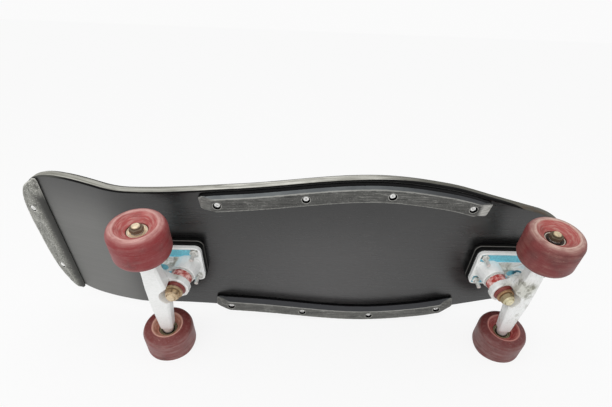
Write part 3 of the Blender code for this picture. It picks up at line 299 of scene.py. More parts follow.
def over(mask, below, above):
    """One colour laid over another where the mask is 1. A colour of the screen has three values."""
    sides = [tone(*one) if isinstance(one, tuple) and len(one) == 3 else one for one in (below, above)]
    return mask.then("ShaderNodeMix", dict(enumerate(sides, 6)), output=2, data_type="RGBA")


def layers(colour, *rows):
    """Lay colours over one another. Each row has a mask, the share of it that counts, and the colour."""
    for mask, share, above in rows:
        colour = over(mask if share == 1 else mask * share, colour, above)
    return colour


SORTS = {float: "Float", int: "Int", tuple: "Vector"}


def grouped(name, inputs, outputs, kind="ShaderNodeTree"):
    """Make a function's steps into a node group. An input is given by its default, or by its sort.

    The function gets the inputs in this order and gives what goes out.
    """
    def wire(steps):
        tree = bpy.data.node_groups.new(name, kind)
        for label, default in inputs.items():
            sort = SORTS.get(type(default), default)
            socket = tree.interface.new_socket(label, in_out="INPUT", socket_type="NodeSocket" + sort)
            if sort is not default:
                socket.default_value = default
        for label, sort in outputs.items():
            tree.interface.new_socket(label, in_out="OUTPUT", socket_type="NodeSocket" + sort)
        given = tree.nodes.new("NodeGroupInput").outputs
        result = tree.nodes.new("NodeGroupOutput").inputs
        made = steps(*[Field(given[label]) for label in inputs])
        for label, value in zip(outputs, made if isinstance(made, tuple) else (made,)):
            value.into(result[label])
        return tree
    return wire


@grouped("mottle", {
    "Vector": "Vector", "Scale": (80.0, 80.0, 80.0), "Low": 0.4, "High": 0.6,
}, {"Mask": "Float"})
def mottle_nodes(vector, scale, low, high):
    """Soft blotches, or streaks where the scale differs between directions."""
    return vector.scaled(scale).cloud(detail=6.0, roughness=0.6).ramp(low, high)


@grouped("scratches", {
    "Vector": "Vector", "Scale": (60.0, 900.0, 900.0), "Width": 0.02, "Patch Scale": 40.0, "Amount": 0.5,
}, {"Mask": "Float"})
def scratch_nodes(vector, scale, width, patch_scale, amount):
    """Thin broken lines that run the long way of the scale, in patches."""
    line = abs(vector.scaled(scale).cloud(detail=2.0) - 0.5)
    kept = vector.cloud(patch_scale, 3.0).ramp(0.85 - amount * 0.5, 0.8)
    return (1.0 - line.ramp(0.0, width)).sums("MULTIPLY", kept, clamp=True)


@grouped("worn_edge", {
    "Edge": 0.5, "Vector": "Vector", "Scale": 150.0, "Start": 0.6, "End": 0.75, "Break Up": 0.3,
}, {"Mask": "Float"})
def worn_edge_nodes(edge, vector, scale, start, end, break_up):
    """Where corners are rubbed: the edge attribute, broken up by blotches."""
    patch = vector.cloud(scale, 5.0, 0.65) - 0.5
    return patch.sums("MULTIPLY_ADD", break_up, edge).ramp(start, end)


@grouped("skin", {
    "Vector": "Vector", "Grain Scale": 900.0, "Pit Scale": 250.0, "Pits": 0.4,
}, {"Height": "Float"})
def skin_nodes(vector, grain_scale, pit_scale, pits):
    """Height of a moulded or cast skin: a fine grain, with pits where it is above the pit level."""
    return vector.cloud(grain_scale, 3.0) - vector.cloud(pit_scale, 2.0).ramp(0.62, 0.72) * pits


@grouped("turned_zones", {"Spot": "Vector"}, {"Radius": "Float", "Along": "Float", "Round": "Vector"})
def zone_nodes(spot):
    """Splits a turned piece's own-frame spot into its distance from the axis and its place along it."""
    x, y, z = spot.split()
    radius = x.sums("MULTIPLY_ADD", x, y * y).sums("SQRT")
    angle = abs(y.sums("ARCTAN2", x))
    return radius, z, field(spot.tree, "ShaderNodeCombineXYZ", {0: angle, 1: radius, 2: z})


def use(group, *values):
    """Place a shared group, fed with these values. Gives all that comes out of it."""
    node = put(values[0].tree, "ShaderNodeGroup", dict(enumerate(values)), node_tree=group)
    return [Field(socket) for socket in node.outputs]


def mottle(vector, scale, low, high):
    scales = scale if isinstance(scale, tuple) else (scale, scale, scale)
    return use(mottle_nodes, vector, scales, low, high)[0]


def scratches(vector, scale, width, patches, amount):
    return use(scratch_nodes, vector, scale, width, patches, amount)[0]


def worn_edge(edge, vector, scale, start, end, broken):
    return use(worn_edge_nodes, edge, vector, scale, start, end, broken)[0]


def skin(vector, grain, pit, pits):
    return use(skin_nodes, vector, grain, pit, pits)[0]


# Materials

def new_material(name, roughness=0.5, metallic=0.0, specular=0.5):
    """A material and its node tree."""
    made = bpy.data.materials.new(name)
    made.use_nodes = True
    inputs = {"Roughness": roughness, "Metallic": metallic, "Specular IOR Level": specular}
    fill(made.node_tree.nodes["Principled BSDF"], inputs)
    return made, made.node_tree


def dress(made, colour, roughness, height, depth=0.0001, strength=1.0, metallic=None):
    """Wire a material's varying colour, roughness, bump height and metal to its shader, and give it."""
    inputs = {"Height": height, "Strength": strength, "Distance": depth}
    relief = field(made.node_tree, "ShaderNodeBump", inputs)
    shader = made.node_tree.nodes["Principled BSDF"]
    fill(shader, {"Base Color": colour, "Roughness": roughness, "Normal": relief})
    if metallic:
        fill(shader, {"Metallic": metallic})
    return made


def object_spot(tree):
    return field(tree, "ShaderNodeTexCoord", output="Object")


def underside_material():
    """Satin black paint, dusty in clouds, with painted reflection of the floor in the middle and painted
    sheen on the kick.
    """
    made, tree = new_material("underside_paint", 0.3, specular=0.8)
    blank = attribute(tree, "blank", "Vector")
    x, y, _ = blank.split()
    brushed = mottle(blank, (9.0, 420.0, 60.0), 0.35, 0.7)
    cloudy = mottle(blank, (24.0, 6.0, 10.0), 0.35, 0.7)
    dusty = mottle(blank, (26.0, 60.0, 20.0), 0.5, 0.8)
    marks = scratches(blank, (26.0, 240.0, 100.0), 0.012, 16.0, 0.6)
    # painted reflection of the floor: the paint is made paler in the middle, more so towards +Y
    film = x.near(0.03, 0.2) * y.ramp(-0.095, 0.01)
    # painted sheen: the kick, which tilts towards the light, is painted paler grey, less so near the -Y
    # edge; it is also rougher there
    kick = x.ramp(KICK_X + 0.02, KICK_X - 0.06) * y.ramp(-0.12, -0.03, 0.1)
    rubbed = kick * between(brushed, 0.84, 0.96)
    paint = layers(
        over(brushed, (10, 10, 10), (18, 18, 18)),
        (cloudy, 0.3, (34, 33, 34)), (film, 0.9, (60, 59, 59)), (dusty, 0.3, (66, 65, 62)),
        (rubbed, 1, (108, 108, 105)), (marks, 0.35, (118, 116, 110)),
    )
    roughness = between(dusty.most(rubbed), between(brushed, 0.26, 0.34), 0.46)
    return dress(made, paint, roughness, brushed * 0.2 - marks, 0.00006, 0.5)


def ply_edge_material():
    """Round the edge: dull black paint below, then bare plies, handled grey towards the nose."""
    made, tree = new_material("ply_edge", 0.6, specular=0.1)
    blank = attribute(tree, "blank", "Vector")
    x, _, z = blank.split()
    height = z / DECK_THICKNESS
    ply = height * float(PLIES)
    # every ply has its own tone, which drifts along the board
    own = field(tree, "ShaderNodeCombineXYZ", {0: x * 16.0, 1: ply.sums("FLOOR") * 3.7}).cloud(1.0, 3.0)
    grain = mottle(blank, (40.0, 300.0, 2600.0), 0.3, 0.7)
    handled = x.ramp(0.06, 0.145)
    glue = abs(ply.sums("FRACT") - 0.5).ramp(0.36, 0.5)
    grime = mottle(blank, (34.0, 34.0, 120.0), 0.54, 0.74)
    stained = mottle(blank, (60.0, 90.0, 160.0), 0.46, 0.62)
    # the paint that is left below grows deeper towards the nose, and has gone beside the wheel
    gone = x.ramp(0.235, 0.27)
    lowest = between(gone, handled * 0.08 + 0.05, -0.12)
    whole = between(gone, handled * 0.36 + x.ramp(-0.18, -0.23, 0.19, 0.30), 0.06)
    wood = layers(
        over(own.ramp(0.36, 0.62), (160, 159, 151), (230, 229, 221)),
        (grain, 0.3, (118, 116, 106)), (handled, 0.9, (74, 73, 65)),
        (x.ramp(-0.08, -0.16, 0.0, 0.45), 1, (118, 117, 108)),
        (glue, 0.4, (84, 81, 72)), (grime, 0.6, (76, 75, 70)), (gone * (stained * 0.5), 1, (96, 78, 64)),
    )
    painted = layers(
        over(grime, (5, 5, 5), (15, 15, 14)), (x.ramp(-0.265, -0.30, 0.0, 0.8), 1, (90, 90, 86)),
    )
    side = height.ramp(lowest, whole) * height.ramp(1.0, 0.90)
    bare = worn_edge(side, blank, 90.0, 0.25, 0.6, 0.4)
    colour = over(bare, painted, wood)
    return dress(made, colour, between(bare, 0.5, 0.65), grain - glue * bare, 0.00006, 0.5)


def grip_material():
    """Black grit, with dust in it and worn smoother where feet have stood."""
    made, tree = new_material("grit_sheet", 0.85, specular=0.4)
    blank = attribute(tree, "blank", "Vector")
    grit = field(tree, "ShaderNodeTexVoronoi", {"Vector": blank, "Scale": 1600.0}, feature="F1")
    rubbed = mottle(blank, (14.0, 20.0, 14.0), 0.5, 0.75)
    dust = mottle(blank, 60.0, 0.4, 0.8)
    colour = layers(
        over(grit.ramp(0.1, 0.6), (62, 61, 60), (22, 22, 22)),
        (dust, 0.25, (96, 93, 88)), (rubbed, 0.3, (74, 72, 70)),
    )
    height = (1.0 - grit) * between(rubbed, 1.0, 0.45)
    return dress(made, colour, between(rubbed, 0.9, 0.66), height, 0.0003, 0.8)


def fresh_plastic_material():
    """Moulded black plastic that the road never touched."""
    made, tree = new_material("fresh_plastic", 0.42, specular=0.08)
    spot = object_spot(tree)
    dust = mottle(spot, (60.0, 200.0, 160.0), 0.5, 0.8)
    colour = over(dust, (6, 6, 7), (20, 21, 22))
    return dress(made, colour, dust.ramp(0.0, 1.0, 0.38, 0.6), skin(spot, 1100.0, 320.0, 0.4), 0.00008, 0.5)


def worn_plastic_material(name, tones, side_tones, along, speckled):
    """Black plastic rubbed grey: clouds and drag lines on the road face, pale corners and hole rims.

    Tones: dark, middle and light of the road face; outer flank, its patches, inner flank.
    """
    made, tree = new_material(name, 0.55, specular=0.3)
    spot = object_spot(tree)
    road, outer = attribute(tree, "road"), attribute(tree, "outer")
    dark, middle, light = tones
    flank, flank_patch, inner = side_tones
    length, breadth, depth = along
    drag = mottle(spot, along, 0.3, 0.7)
    patchy = mottle(spot, (46.0, 110.0, 110.0), 0.36, 0.66)
    specks = mottle(spot.moved((0.2, 0.4, 0.1)), 560.0, 0.54, 0.64)
    pits = mottle(spot.moved((0.7, 0.1, 0.3)), 640.0, 0.57, 0.64)
    lines = scratches(spot, (length, breadth * 0.7, depth), 0.04, 55.0, 0.95)
    crossing = (breadth * 0.5, length * 3.0, depth)
    lines = lines.most(scratches(spot.moved((0.31, 0.17, 0.05)), crossing, 0.025, 60.0, 0.7))
    face = layers(
        over(drag, dark, middle),
        (patchy, 0.55, middle), (lines, 0.8, light), (specks, speckled, light),
        (pits, speckled * 0.7, inner),
    )
    side = over(outer, inner, over(patchy * 0.6, flank, flank_patch))
    corner = worn_edge(attribute(tree, "edge"), spot, 120.0, 0.54, 0.68, 0.2)
    rim = worn_edge(attribute(tree, "rim"), spot, 260.0, 0.4, 0.7, 0.5)
    colour = layers(
        over(road.ramp(0.15, 0.6), side, face),
        (attribute(tree, "ramp"), 1, over(drag, light, (214, 214, 208))),
        ((corner * outer.most(road)).most(rim), 0.75, light),
    )
    height = skin(spot, 1100.0, 320.0, 0.6) - lines
    return dress(made, colour, between(drag, 0.46, 0.66), height, 0.00014, 0.7)


def rubber_material():
    """Dull black rubber with dust, and a pale line where the two layers meet that is a painted highlight.
    """
    made, tree = new_material("riser_rubber", 0.6, specular=0.15)
    spot = object_spot(tree)
    dust = mottle(spot, (120.0, 120.0, 200.0), 0.5, 0.8)
    # painted highlight: a pale line where the two rubber layers meet
    seam_highlight = spot.split()[2].near(WHEEL_RADIUS + RISER_HIGH - GAP / 2, 0.0011)
    colour = layers(over(dust * 0.5, (8, 8, 8), (40, 40, 38)), (seam_highlight, 0.8, (150, 148, 143)))
    return dress(made, colour, dust.ramp(0.0, 1.0, 0.5, 0.75), skin(spot, 1500.0, 500.0, 0.3), 0.00006)


def casting_material(name, shift, scuffs, smear_at, reach, paint=None):
    """Polished cast aluminium, almost white in the light, with grey scars, and dirt in its hollows.

    Grey smears lie round one spot. Paint is kept where the mesh says.
    """
    made, tree = new_material(name, 0.35, 0.3)
    own = object_spot(tree)
    spot = own.moved(shift)
    scar_spot = spot.moved((0.4, 0.1, 0.2))
    dull = mottle(spot, 70.0, 0.45, 0.75)
    fine = mottle(spot, 420.0, 0.35, 0.75)
    lines = scratches(spot, (300.0, 60.0, 200.0), 0.03, 45.0, 0.4 + scuffs)
    scarred = mottle(scar_spot, (62.0, 48.0, 62.0), 0.68 - 0.22 * scuffs, 0.76 - 0.14 * scuffs)
    deep = mottle(scar_spot, (150.0, 110.0, 150.0), 0.48, 0.60)
    hollow = attribute(tree, "edge").ramp(0.46, 0.28)
    away = own.then("ShaderNodeVectorMath", {1: smear_at}, output="Value", operation="DISTANCE")
    smear = mottle(scar_spot.moved((0.2, 0.5, 0.1)), (70.0, 46.0, 70.0), 0.38, 0.52)
    smear = smear * away.ramp(reach, reach * 0.4)
    colour = layers(
        over(fine, (253, 254, 253), (244, 246, 244)),
        (dull, 0.1 + 0.5 * scuffs, (214, 216, 208)),
        (scarred, 0.3 + 0.3 * scuffs, (164, 163, 146)),
        (scarred * deep, 0.9 * scuffs, (98, 96, 82)),
        (hollow, 0.26, (128, 123, 108)),
        (lines, 0.25 + 0.4 * scuffs, (150, 150, 142)),
        (smear, 0.5, (172, 170, 148)),
        (smear * deep, 0.6, (98, 96, 78)),
    )
    metallic = 0.12 - hollow.most(scarred) * 0.1
    if paint:
        kept = worn_edge(attribute(tree, "painted"), spot, 170.0, 0.5, 0.62, 0.7)
        colour = over(kept, colour, over(fine, paint, tuple(min(value * 1.16, 255) for value in paint)))
        metallic = metallic * (1.0 - kept)
    height = skin(spot, 700.0, 260.0, 0.7) - lines
    return dress(made, colour, between(dull, 0.36, 0.52), height, 0.00012, 0.5, metallic)


def metal_material(name, bright, dark, roughness, dirt, metallic, shift=0.0, flats=None):
    """Turned or pressed metal with fine rings and dirt in patches, darkened beyond a radius as painted
    shade on nuts' sides and round races' outer edges.
    """
    made, tree = new_material(name, roughness, metallic)
    own = attribute(tree, "spot", "Vector")
    radius, _, rolled = use(zone_nodes, own)
    rings = rolled.scaled((0.6, 5200.0, 5200.0)).cloud(1.0, 2.0)
    dirt_and_shade = mottle(own.moved((shift, shift, shift)), 330.0, 0.42, 0.72) * dirt
    # painted shade: beyond this radius the metal is darkened, as on a nut's sides and in the gap round a
    # race
    if flats:
        dirt_and_shade = dirt_and_shade.most(radius.ramp(flats, flats + 0.0004) * 0.85)
    colour = over(dirt_and_shade, over(rings.ramp(0.35, 0.7), bright, tone(*bright, 0.86)), dark)
    return dress(made, colour, between(dirt_and_shade, roughness, roughness + 0.3), rings, 0.00003, 0.5)


def shield_material(name, rim, middle, ridge_highlight):
    """A pressed bearing shield: its rim, a narrow ring painted as a highlight near its outer bend, and
    grease towards the sleeve.
    """
    made, tree = new_material(name, 0.4, 0.6)
    spot = attribute(tree, "spot", "Vector")
    radius = use(zone_nodes, spot)[0]
    grease = mottle(spot, 500.0, 0.4, 0.7)
    # the narrow pale ring near 8.4 mm is a painted highlight
    colour = layers(
        over(radius.ramp(0.0082, 0.0076), rim, middle),
        (radius.near(0.0084, 0.0005), 0.8, ridge_highlight), (grease, 0.25, (64, 46, 34)),
    )
    return dress(made, colour, between(grease, 0.34, 0.6), grease, 0.00004, 0.5)


def urethane_material(name, tones, shift, dust, chalk, streaks, lip):
    """Wheel urethane: deep red where clean, mauve where it has rolled, pale on its crests with chalk and
    painted highlights.

    Tones: clean tread, dusty tread, pale crest (for chalk and for painted highlights), outer dish, inner
    face.
    """
    made, tree = new_material(name, 0.5, specular=0.4)
    deep, dusty, crest, dish, inner_face = tones
    own = attribute(tree, "spot", "Vector")
    spot = own.moved(shift)
    radius, along, rolled = use(zone_nodes, own)
    outer = along.ramp(-0.004, 0.004)
    tread = radius.ramp(0.0268, 0.0300)
    streaky = rolled.scaled((1.2, 200.0, 330.0)).cloud(1.0, 5.0, 0.6)
    blotch = mottle(spot, 62.0, 0.38, 0.64)
    fine = mottle(spot, 260.0, 0.4, 0.7)
    dots = mottle(spot.moved((0.1, 0.8, 0.4)), 520.0, 0.58, 0.66)
    nicks = scratches(spot, (150.0, 150.0, 420.0), 0.02, 90.0, 0.75)
    swept = mottle(rolled.moved(shift), (1.6, 620.0, 240.0), 0.4, 0.66)
    worn_down = mottle(spot.moved((0.6, 0.2, 0.9)), 34.0, 0.46, 0.66)
    # tread: red shows through the dust in patches
    dusted = streaky.ramp(0.34, 0.62) * between(blotch, dust, dust * 0.25)
    rolling = over(dusted, over(worn_down * 0.65, deep, (84, 48, 45)), dusty)
    # outer side: shoulder, crest and dish
    chalked = between(blotch, chalk, chalk * 0.45) * radius.ramp(0.0286, 0.0234, 0.3, 1.0)
    shoulder = over(chalked * between(swept, 0.55, 1.0), over(dusted * 0.7, deep, dusty), crest)
    bowl = over(worn_down * 0.45, over(swept * streaks, dish, crest), inner_face)
    # painted highlight: a pale ring on the crest, partly chalk
    ring = radius.near(0.0222, 0.0016) * between(fine, 1.0, 0.5)
    outer_side = layers(over(radius.ramp(0.0206, 0.0222), bowl, shoulder), (ring, 0.65, crest))
    # inner side: dark face, narrow pale lip that is partly dust and partly painted highlight, paler dish
    inner_side = layers(
        over(radius.ramp(lip, lip - 0.001), inner_face, over(swept * 0.6, dish, crest)),
        (radius.near(lip, 0.0018), 0.95, crest), (fine, 0.2, dusty),
    )
    colour = layers(
        over(tread, over(outer, inner_side, outer_side), rolling), (nicks, 0.35, crest), (dots, 0.3, dusty),
    )
    roughness = between(dusted.most(outer * 0.6), 0.36, 0.66)
    return dress(made, colour, roughness, streaky * 0.6 - nicks, 0.00015, 0.5)


def bushing_material(name, clean, film, covered, shift):
    """Moulded rubber or urethane with a pale film that has rubbed through."""
    made, tree = new_material(name, 0.4, specular=0.5)
    spot = attribute(tree, "spot", "Vector").moved((shift, 0.0, 0.0))
    patch = mottle(spot, (170.0, 170.0, 210.0), 0.40, 0.64)
    height = skin(spot, 800.0, 300.0, 0.4)
    return dress(made, over(patch * covered, clean, film), between(patch, 0.32, 0.55), height, 0.00008, 0.5)


# Meshes

def show(name, mesh):
    made = bpy.data.objects.new(name, mesh)
    bpy.context.scene.collection.objects.link(made)
    return made


def settle(obj):
    """The object's mesh with its modifiers, as a plain mesh. The object goes."""
    bpy.context.view_layer.update()
    solid = obj.evaluated_get(bpy.context.evaluated_depsgraph_get())
    mesh = bpy.data.meshes.new_from_object(solid)
    bpy.data.objects.remove(obj)
    return mesh


def coat(mesh, *materials):
    mesh.materials.clear()
    for material in materials:
        mesh.materials.append(material)


def piece(name, mesh, body, nodes=()):
    """Finish one piece: set it on its body and hide the solids that it stands for.

    A piece that is given no body comes without one.
    """
    made = show(name, mesh)
    if body:
        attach(made, body)
    if nodes:
        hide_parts(*nodes)
    return made


def shade(mesh, angle=35.0):
    """Smooth shading, but not across corners sharper than the angle."""
    mesh.polygons.foreach_set("use_smooth", [True] * len(mesh.polygons))
    mesh.set_sharp_from_angle(angle=math.radians(angle))
    return mesh


def to_mesh(bm, name):
    bmesh.ops.recalc_face_normals(bm, faces=bm.faces)
    mesh = bpy.data.meshes.new(name)
    bm.to_mesh(mesh)
    bm.free()
    return mesh


def edited(mesh, change):
    """Change a mesh by some bmesh step."""
    bm = bmesh.new()
    bm.from_mesh(mesh)
    change(bm)
    bm.to_mesh(mesh)
    bm.free()
    return mesh


def cut_across(bm, x, reach):
    """Split faces along an upright plane across the board."""
    geometry = [*bm.verts, *bm.edges, *bm.faces]
    bmesh.ops.bisect_plane(bm, geom=geometry, dist=reach, plane_co=(x, 0.0, 0.0), plane_no=(1.0, 0.0, 0.0))


def read(mesh, kind="co"):
    """Every vertex's place, or its normal, as an array."""
    values = np.empty(len(mesh.vertices) * 3, np.float32)
    mesh.vertices.foreach_get(kind, values)
    return values.reshape(-1, 3)


def place_vertices(mesh, spots):
    mesh.vertices.foreach_set("co", spots.astype(np.float32).ravel())
    mesh.update()


def store(mesh, name, values):
    """Keep one value, or one vector, for each vertex."""
    values = np.asarray(values, np.float32)
    vector = values.ndim == 2
    kept = mesh.attributes.new(name, "FLOAT_VECTOR" if vector else "FLOAT", "POINT")
    kept.data.foreach_set("vector" if vector else "value", values.ravel())
    return mesh


def keep_spots(mesh):
    """Store where each vertex lies in the piece's own frame."""
    if "spot" in mesh.attributes:
        mesh.attributes.remove(mesh.attributes["spot"])
    return store(mesh, "spot", read(mesh))


def joined(mesh):
    """The two ends of every edge, and how many edges meet at each vertex."""
    ends = np.empty(len(mesh.edges) * 2, np.int32)
    mesh.edges.foreach_get("vertices", ends)
    first, second = ends.reshape(-1, 2).T
    count = len(mesh.vertices)
    return first, second, np.bincount(first, minlength=count) + np.bincount(second, minlength=count)


def around(level, first, second):
    """The sum of the neighbours' values, for each vertex."""
    return np.bincount(first, level[second], len(level)) + np.bincount(second, level[first], len(level))


def mark_edges(mesh, reach=4, size=0.0012):
    """Store how far each spot bulges: above 0.5 on corners, below it in hollows."""
    spots, normals = read(mesh), read(mesh, "normal")
    first, second, shared = joined(mesh)
    apart = spots[second] - spots[first]
    squared = (apart ** 2).sum(1) + 1e-12
    bulge = np.bincount(first, -2 * (apart * normals[first]).sum(1) / squared, len(spots))
    bulge += np.bincount(second, 2 * (apart * normals[second]).sum(1) / squared, len(spots))
    level = bulge / np.maximum(shared, 1)
    for _ in range(reach):
        level = (level + around(level, first, second)) / (shared + 1)
    return store(mesh, "edge", 0.5 + 0.5 * np.tanh(level * size))


def relax(mesh, part, rounds):
    """Round off a part of a mesh by easing its vertices towards their neighbours."""
    spots = read(mesh).astype(float)
    first, second, shared = joined(mesh)
    shared = np.maximum(shared, 1)
    for _ in range(rounds):
        for axis in range(3):
            line = spots[:, axis]
            spots[:, axis] += (around(line, first, second) / shared - line) * 0.5 * part
    place_vertices(mesh, spots)


def clipped(values):
    return np.clip(values, 0.0, 1.0)


def rounded(corners, closed, steps=4):
    """An outline whose corners (radius, height, rounding) are cut to small curves."""
    points = []
    count = len(corners)
    for index, corner in enumerate(corners):
        spot = Vector(corner[:2])
        size = corner[2] if len(corner) > 2 else 0.0
        at_end = not closed and index in (0, count - 1)
        if not size or at_end:
            points.append(spot)
            continue
        before = Vector(corners[index - 1][:2]) - spot
        after = Vector(corners[(index + 1) % count][:2]) - spot
        back = before.normalized() * min(size, before.length * 0.48)
        ahead = after.normalized() * min(size, after.length * 0.48)
        for step in range(steps + 1):
            t = step / steps
            points.append(spot + back * (1 - t) ** 2 + ahead * t ** 2)
    return points


def turned(name, corners, steps=48, closed=True):
    """Turn an outline round Z. An open one starts and ends on the axis."""
    outline = rounded(corners, closed)
    bm = bmesh.new()
    rings = []
    for step in range(steps):
        angle = 2 * math.pi * step / steps
        rings.append([bm.verts.new((r * math.cos(angle), r * math.sin(angle), z)) for r, z in outline])
    last = len(outline) if closed else len(outline) - 1
    for step in range(steps):
        ring, following = rings[step], rings[(step + 1) % steps]
        for index in range(last):
            after = (index + 1) % len(outline)
            bm.faces.new((ring[index], following[index], following[after], ring[after]))
    bmesh.ops.remove_doubles(bm, verts=bm.verts, dist=1e-7)
    bmesh.ops.dissolve_degenerate(bm, dist=1e-8, edges=bm.edges)
    return shade(keep_spots(to_mesh(bm, name)))


def stacked(loops):
    """A solid through loops with as many points each, closed at both ends."""
    bm = bmesh.new()
    rings = [[bm.verts.new(spot) for spot in loop] for loop in loops]
    count = len(rings[0])
    for lower, upper in zip(rings, rings[1:]):
        for index in range(count):
            after = (index + 1) % count
            bm.faces.new((lower[index], lower[after], upper[after], upper[index]))
    bm.faces.new(rings[0])
    bm.faces.new(rings[-1])
    return bm


def prism(name, radius, sides, low, high):
    bm = bmesh.new()
    sizes = {"radius1": radius, "radius2": radius, "depth": high - low}
    bmesh.ops.create_cone(bm, cap_ends=True, segments=sides, **sizes)
    bmesh.ops.translate(bm, verts=bm.verts, vec=(0.0, 0.0, (low + high) / 2))
    return to_mesh(bm, name)


def carve(mesh, tool, place=None, operation="DIFFERENCE"):
    """Cut or intersect a mesh with another, set in its place first."""
    if place:
        tool.transform(place)
    body = show("body", mesh)
    other = show("tool", tool)
    change = body.modifiers.new("Boolean", "BOOLEAN")
    change.object = other
    change.operation = operation
    change.solver = "EXACT"
    made = settle(body)
    bpy.data.objects.remove(other)
    return made


def drill(mesh, radius, sides, low, high, spot=(0.0, 0.0, 0.0)):
    """Cut an upright round hole between two heights over a spot."""
    return carve(mesh, prism("hole", radius, sides, low, high), Matrix.Translation(spot))


def countersink(head, neck, above, rim, foot, steps):
    """A tool for a screw's hole: as wide as its head down to the rim, then a cone to its neck."""
    outline = [(0.0, above), (head, above), (head, rim), (neck, foot), (neck, -DEEP), (0.0, -DEEP)]
    return turned("hole", outline, steps, closed=False)


def soften(mesh, size, rounds):
    """Rebuild a solid in small even faces, with its corners eased."""
    body = show("body", mesh)
    grid = body.modifiers.new("Remesh", "REMESH")
    grid.mode = "VOXEL"
    grid.voxel_size = size
    ease = body.modifiers.new("Smooth", "SMOOTH")
    ease.iterations = rounds
    ease.factor = 0.5
    made = settle(body)
    made.polygons.foreach_set("use_smooth", [True] * len(made.polygons))
    return made


def solid_copy(node, place):
    """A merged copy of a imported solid, in a truck's own frame."""
    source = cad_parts[node]
    bm = bmesh.new()
    bm.from_mesh(source.data)
    bmesh.ops.remove_doubles(bm, verts=bm.verts, dist=MERGE)
    mesh = bpy.data.meshes.new(node)
    bm.to_mesh(mesh)
    bm.free()
    mesh.transform(place.inverted() @ source.matrix_world)
    return mesh


# Deck

SLOPES = []
for index, (_, width) in enumerate(STATIONS):
    before = STATIONS[max(index - 1, 0)]
    after = STATIONS[min(index + 1, len(STATIONS) - 1)]
    turning = (width - before[1]) * (after[1] - width) < 0
    SLOPES.append(0.0 if turning else (after[1] - before[1]) / (after[0] - before[0]))


def side_half_width(distance):
    """Half width at a distance from the tail's end, before the ends are rounded."""
    index = 0
    while index < len(STATIONS) - 2 and distance > STATIONS[index + 1][0]:
        index += 1
    (start, low), (end, high) = STATIONS[index], STATIONS[index + 1]
    span = end - start
    t = (distance - start) / span
    return (
        low * (2 * t ** 3 - 3 * t ** 2 + 1)
        + SLOPES[index] * span * (t ** 3 - 2 * t ** 2 + t)
        + high * (3 * t ** 2 - 2 * t ** 3)
        + SLOPES[index + 1] * span * (t ** 3 - t ** 2)
    )


def round_end(length, power, points):
    """Distances from an end of the board, and the share of the width there."""
    angles = [math.pi / 2 * index / points for index in range(points)]
    return [(length * (1 - math.cos(a) ** (2 / power)), math.sin(a) ** (2 / power)) for a in angles]


def half_outline():
    """Points (X, half width) from the tail's end to the nose's, on the flat blank."""
    first = TAIL_ROUND[0]
    last = DECK_LENGTH - NOSE_ROUND[0]
    places = round_end(*TAIL_ROUND)
    places += [(first + (last - first) * index / (SIDE_POINTS - 1), 1) for index in range(SIDE_POINTS)]
    places += [(DECK_LENGTH - distance, share) for distance, share in reversed(round_end(*NOSE_ROUND))]
    return [(BLANK_END + along, side_half_width(along) * share) for along, share in places]


def inset(points, distance):
    """Move an open outline inwards, square to itself. Its two ends are on the middle line."""
    moved = []
    for index, point in enumerate(points):
        before = points[index - 1] if index else (point[0], -points[1][1])
        after = points[index + 1] if index < len(points) - 1 else (point[0], -points[-2][1])
        along = Vector((after[0] - before[0], after[1] - before[1])).normalized()
        moved.append((point[0] + along.y * distance, max(point[1] - along.x * distance, 0.0)))
    return moved


def bend(x, height):
    """Carry a point of the flat blank onto the kicked tail."""
    if x >= KICK_X:
        return x, height
    angle = min((KICK_X - x) / KICK_RADIUS, KICK_ANGLE)
    straight = KICK_X - KICK_RADIUS * angle - x
    bent_x = KICK_X - KICK_RADIUS * math.sin(angle) - straight * math.cos(angle)
    bent_z = KICK_RADIUS * (1 - math.cos(angle)) + straight * math.sin(angle)
    return bent_x + height * math.sin(angle), bent_z + height * math.cos(angle)


def bend_up(mesh):
    """Bend a flat piece up along the kick, and lift it to the deck."""
    for vert in mesh.vertices:
        bent_x, bent_z = bend(vert.co.x, vert.co.z)
        vert.co.x = bent_x
        vert.co.z = bent_z + DECK_Z
    mesh.update()


def plate(name, half, low, high, edge, steps=5):
    """A flat plate with this half outline and rounded rims."""
    rings = []
    for step in range(steps + 1):
        angle = math.pi / 2 * step / steps
        rings.append((edge * (1 - math.sin(angle)), low + edge * (1 - math.cos(angle))))
    rings += [(inwards, low + high - z) for inwards, z in reversed(rings)]
    loops = []
    for inwards, z in rings:
        side = inset(half, inwards)
        loops.append([(x, y, z) for x, y in [*side, *[(x, -y) for x, y in reversed(side[1:-1])]]])
    return to_mesh(stacked(loops), name)


def kicked(mesh):
    """Split a flat piece in strips along the kick, store where its wood lay, and bend it up."""
    def split_kick(bm):
        for strip in range(KICK_STRIPS + 1):
            cut_across(bm, KICK_X - KICK_RADIUS * KICK_ANGLE * strip / KICK_STRIPS, 1e-7)

    store(edited(mesh, split_kick), "blank", read(mesh))
    bend_up(mesh)
    return shade(mesh, 40.0)


def bolt_places():
    """Where the truck bolts stand on the wood, tail truck first."""
    spots = [place @ Vector((x, y, 0.0)) for place in TRUCKS.values() for x, y in BOLT_SPOTS]
    return [(spot.x, spot.y, DECK_THICKNESS) for spot in spots]


def weighted(obj):
    """Keep wide faces flat in the shading."""
    obj.modifiers.new("Weighted Normal", "WEIGHTED_NORMAL").keep_sharp = True


def make_deck(underside, edge):
    mesh = plate("deck", half_outline(), 0.0, DECK_THICKNESS, DECK_EDGE)
    for spot in bolt_places():
        hole = countersink(BOLT_HEAD[1], BOLT_RADIUS + GAP, 0.002, -0.0008, -0.0030, 32)
        mesh = carve(mesh, hole, Matrix.Translation(spot))
    coat(mesh, underside, edge)
    for face in mesh.polygons:
        face.material_index = int(face.normal.z > -0.97)
    weighted(piece("deck_blank", kicked(mesh), "board", ["deck"]))


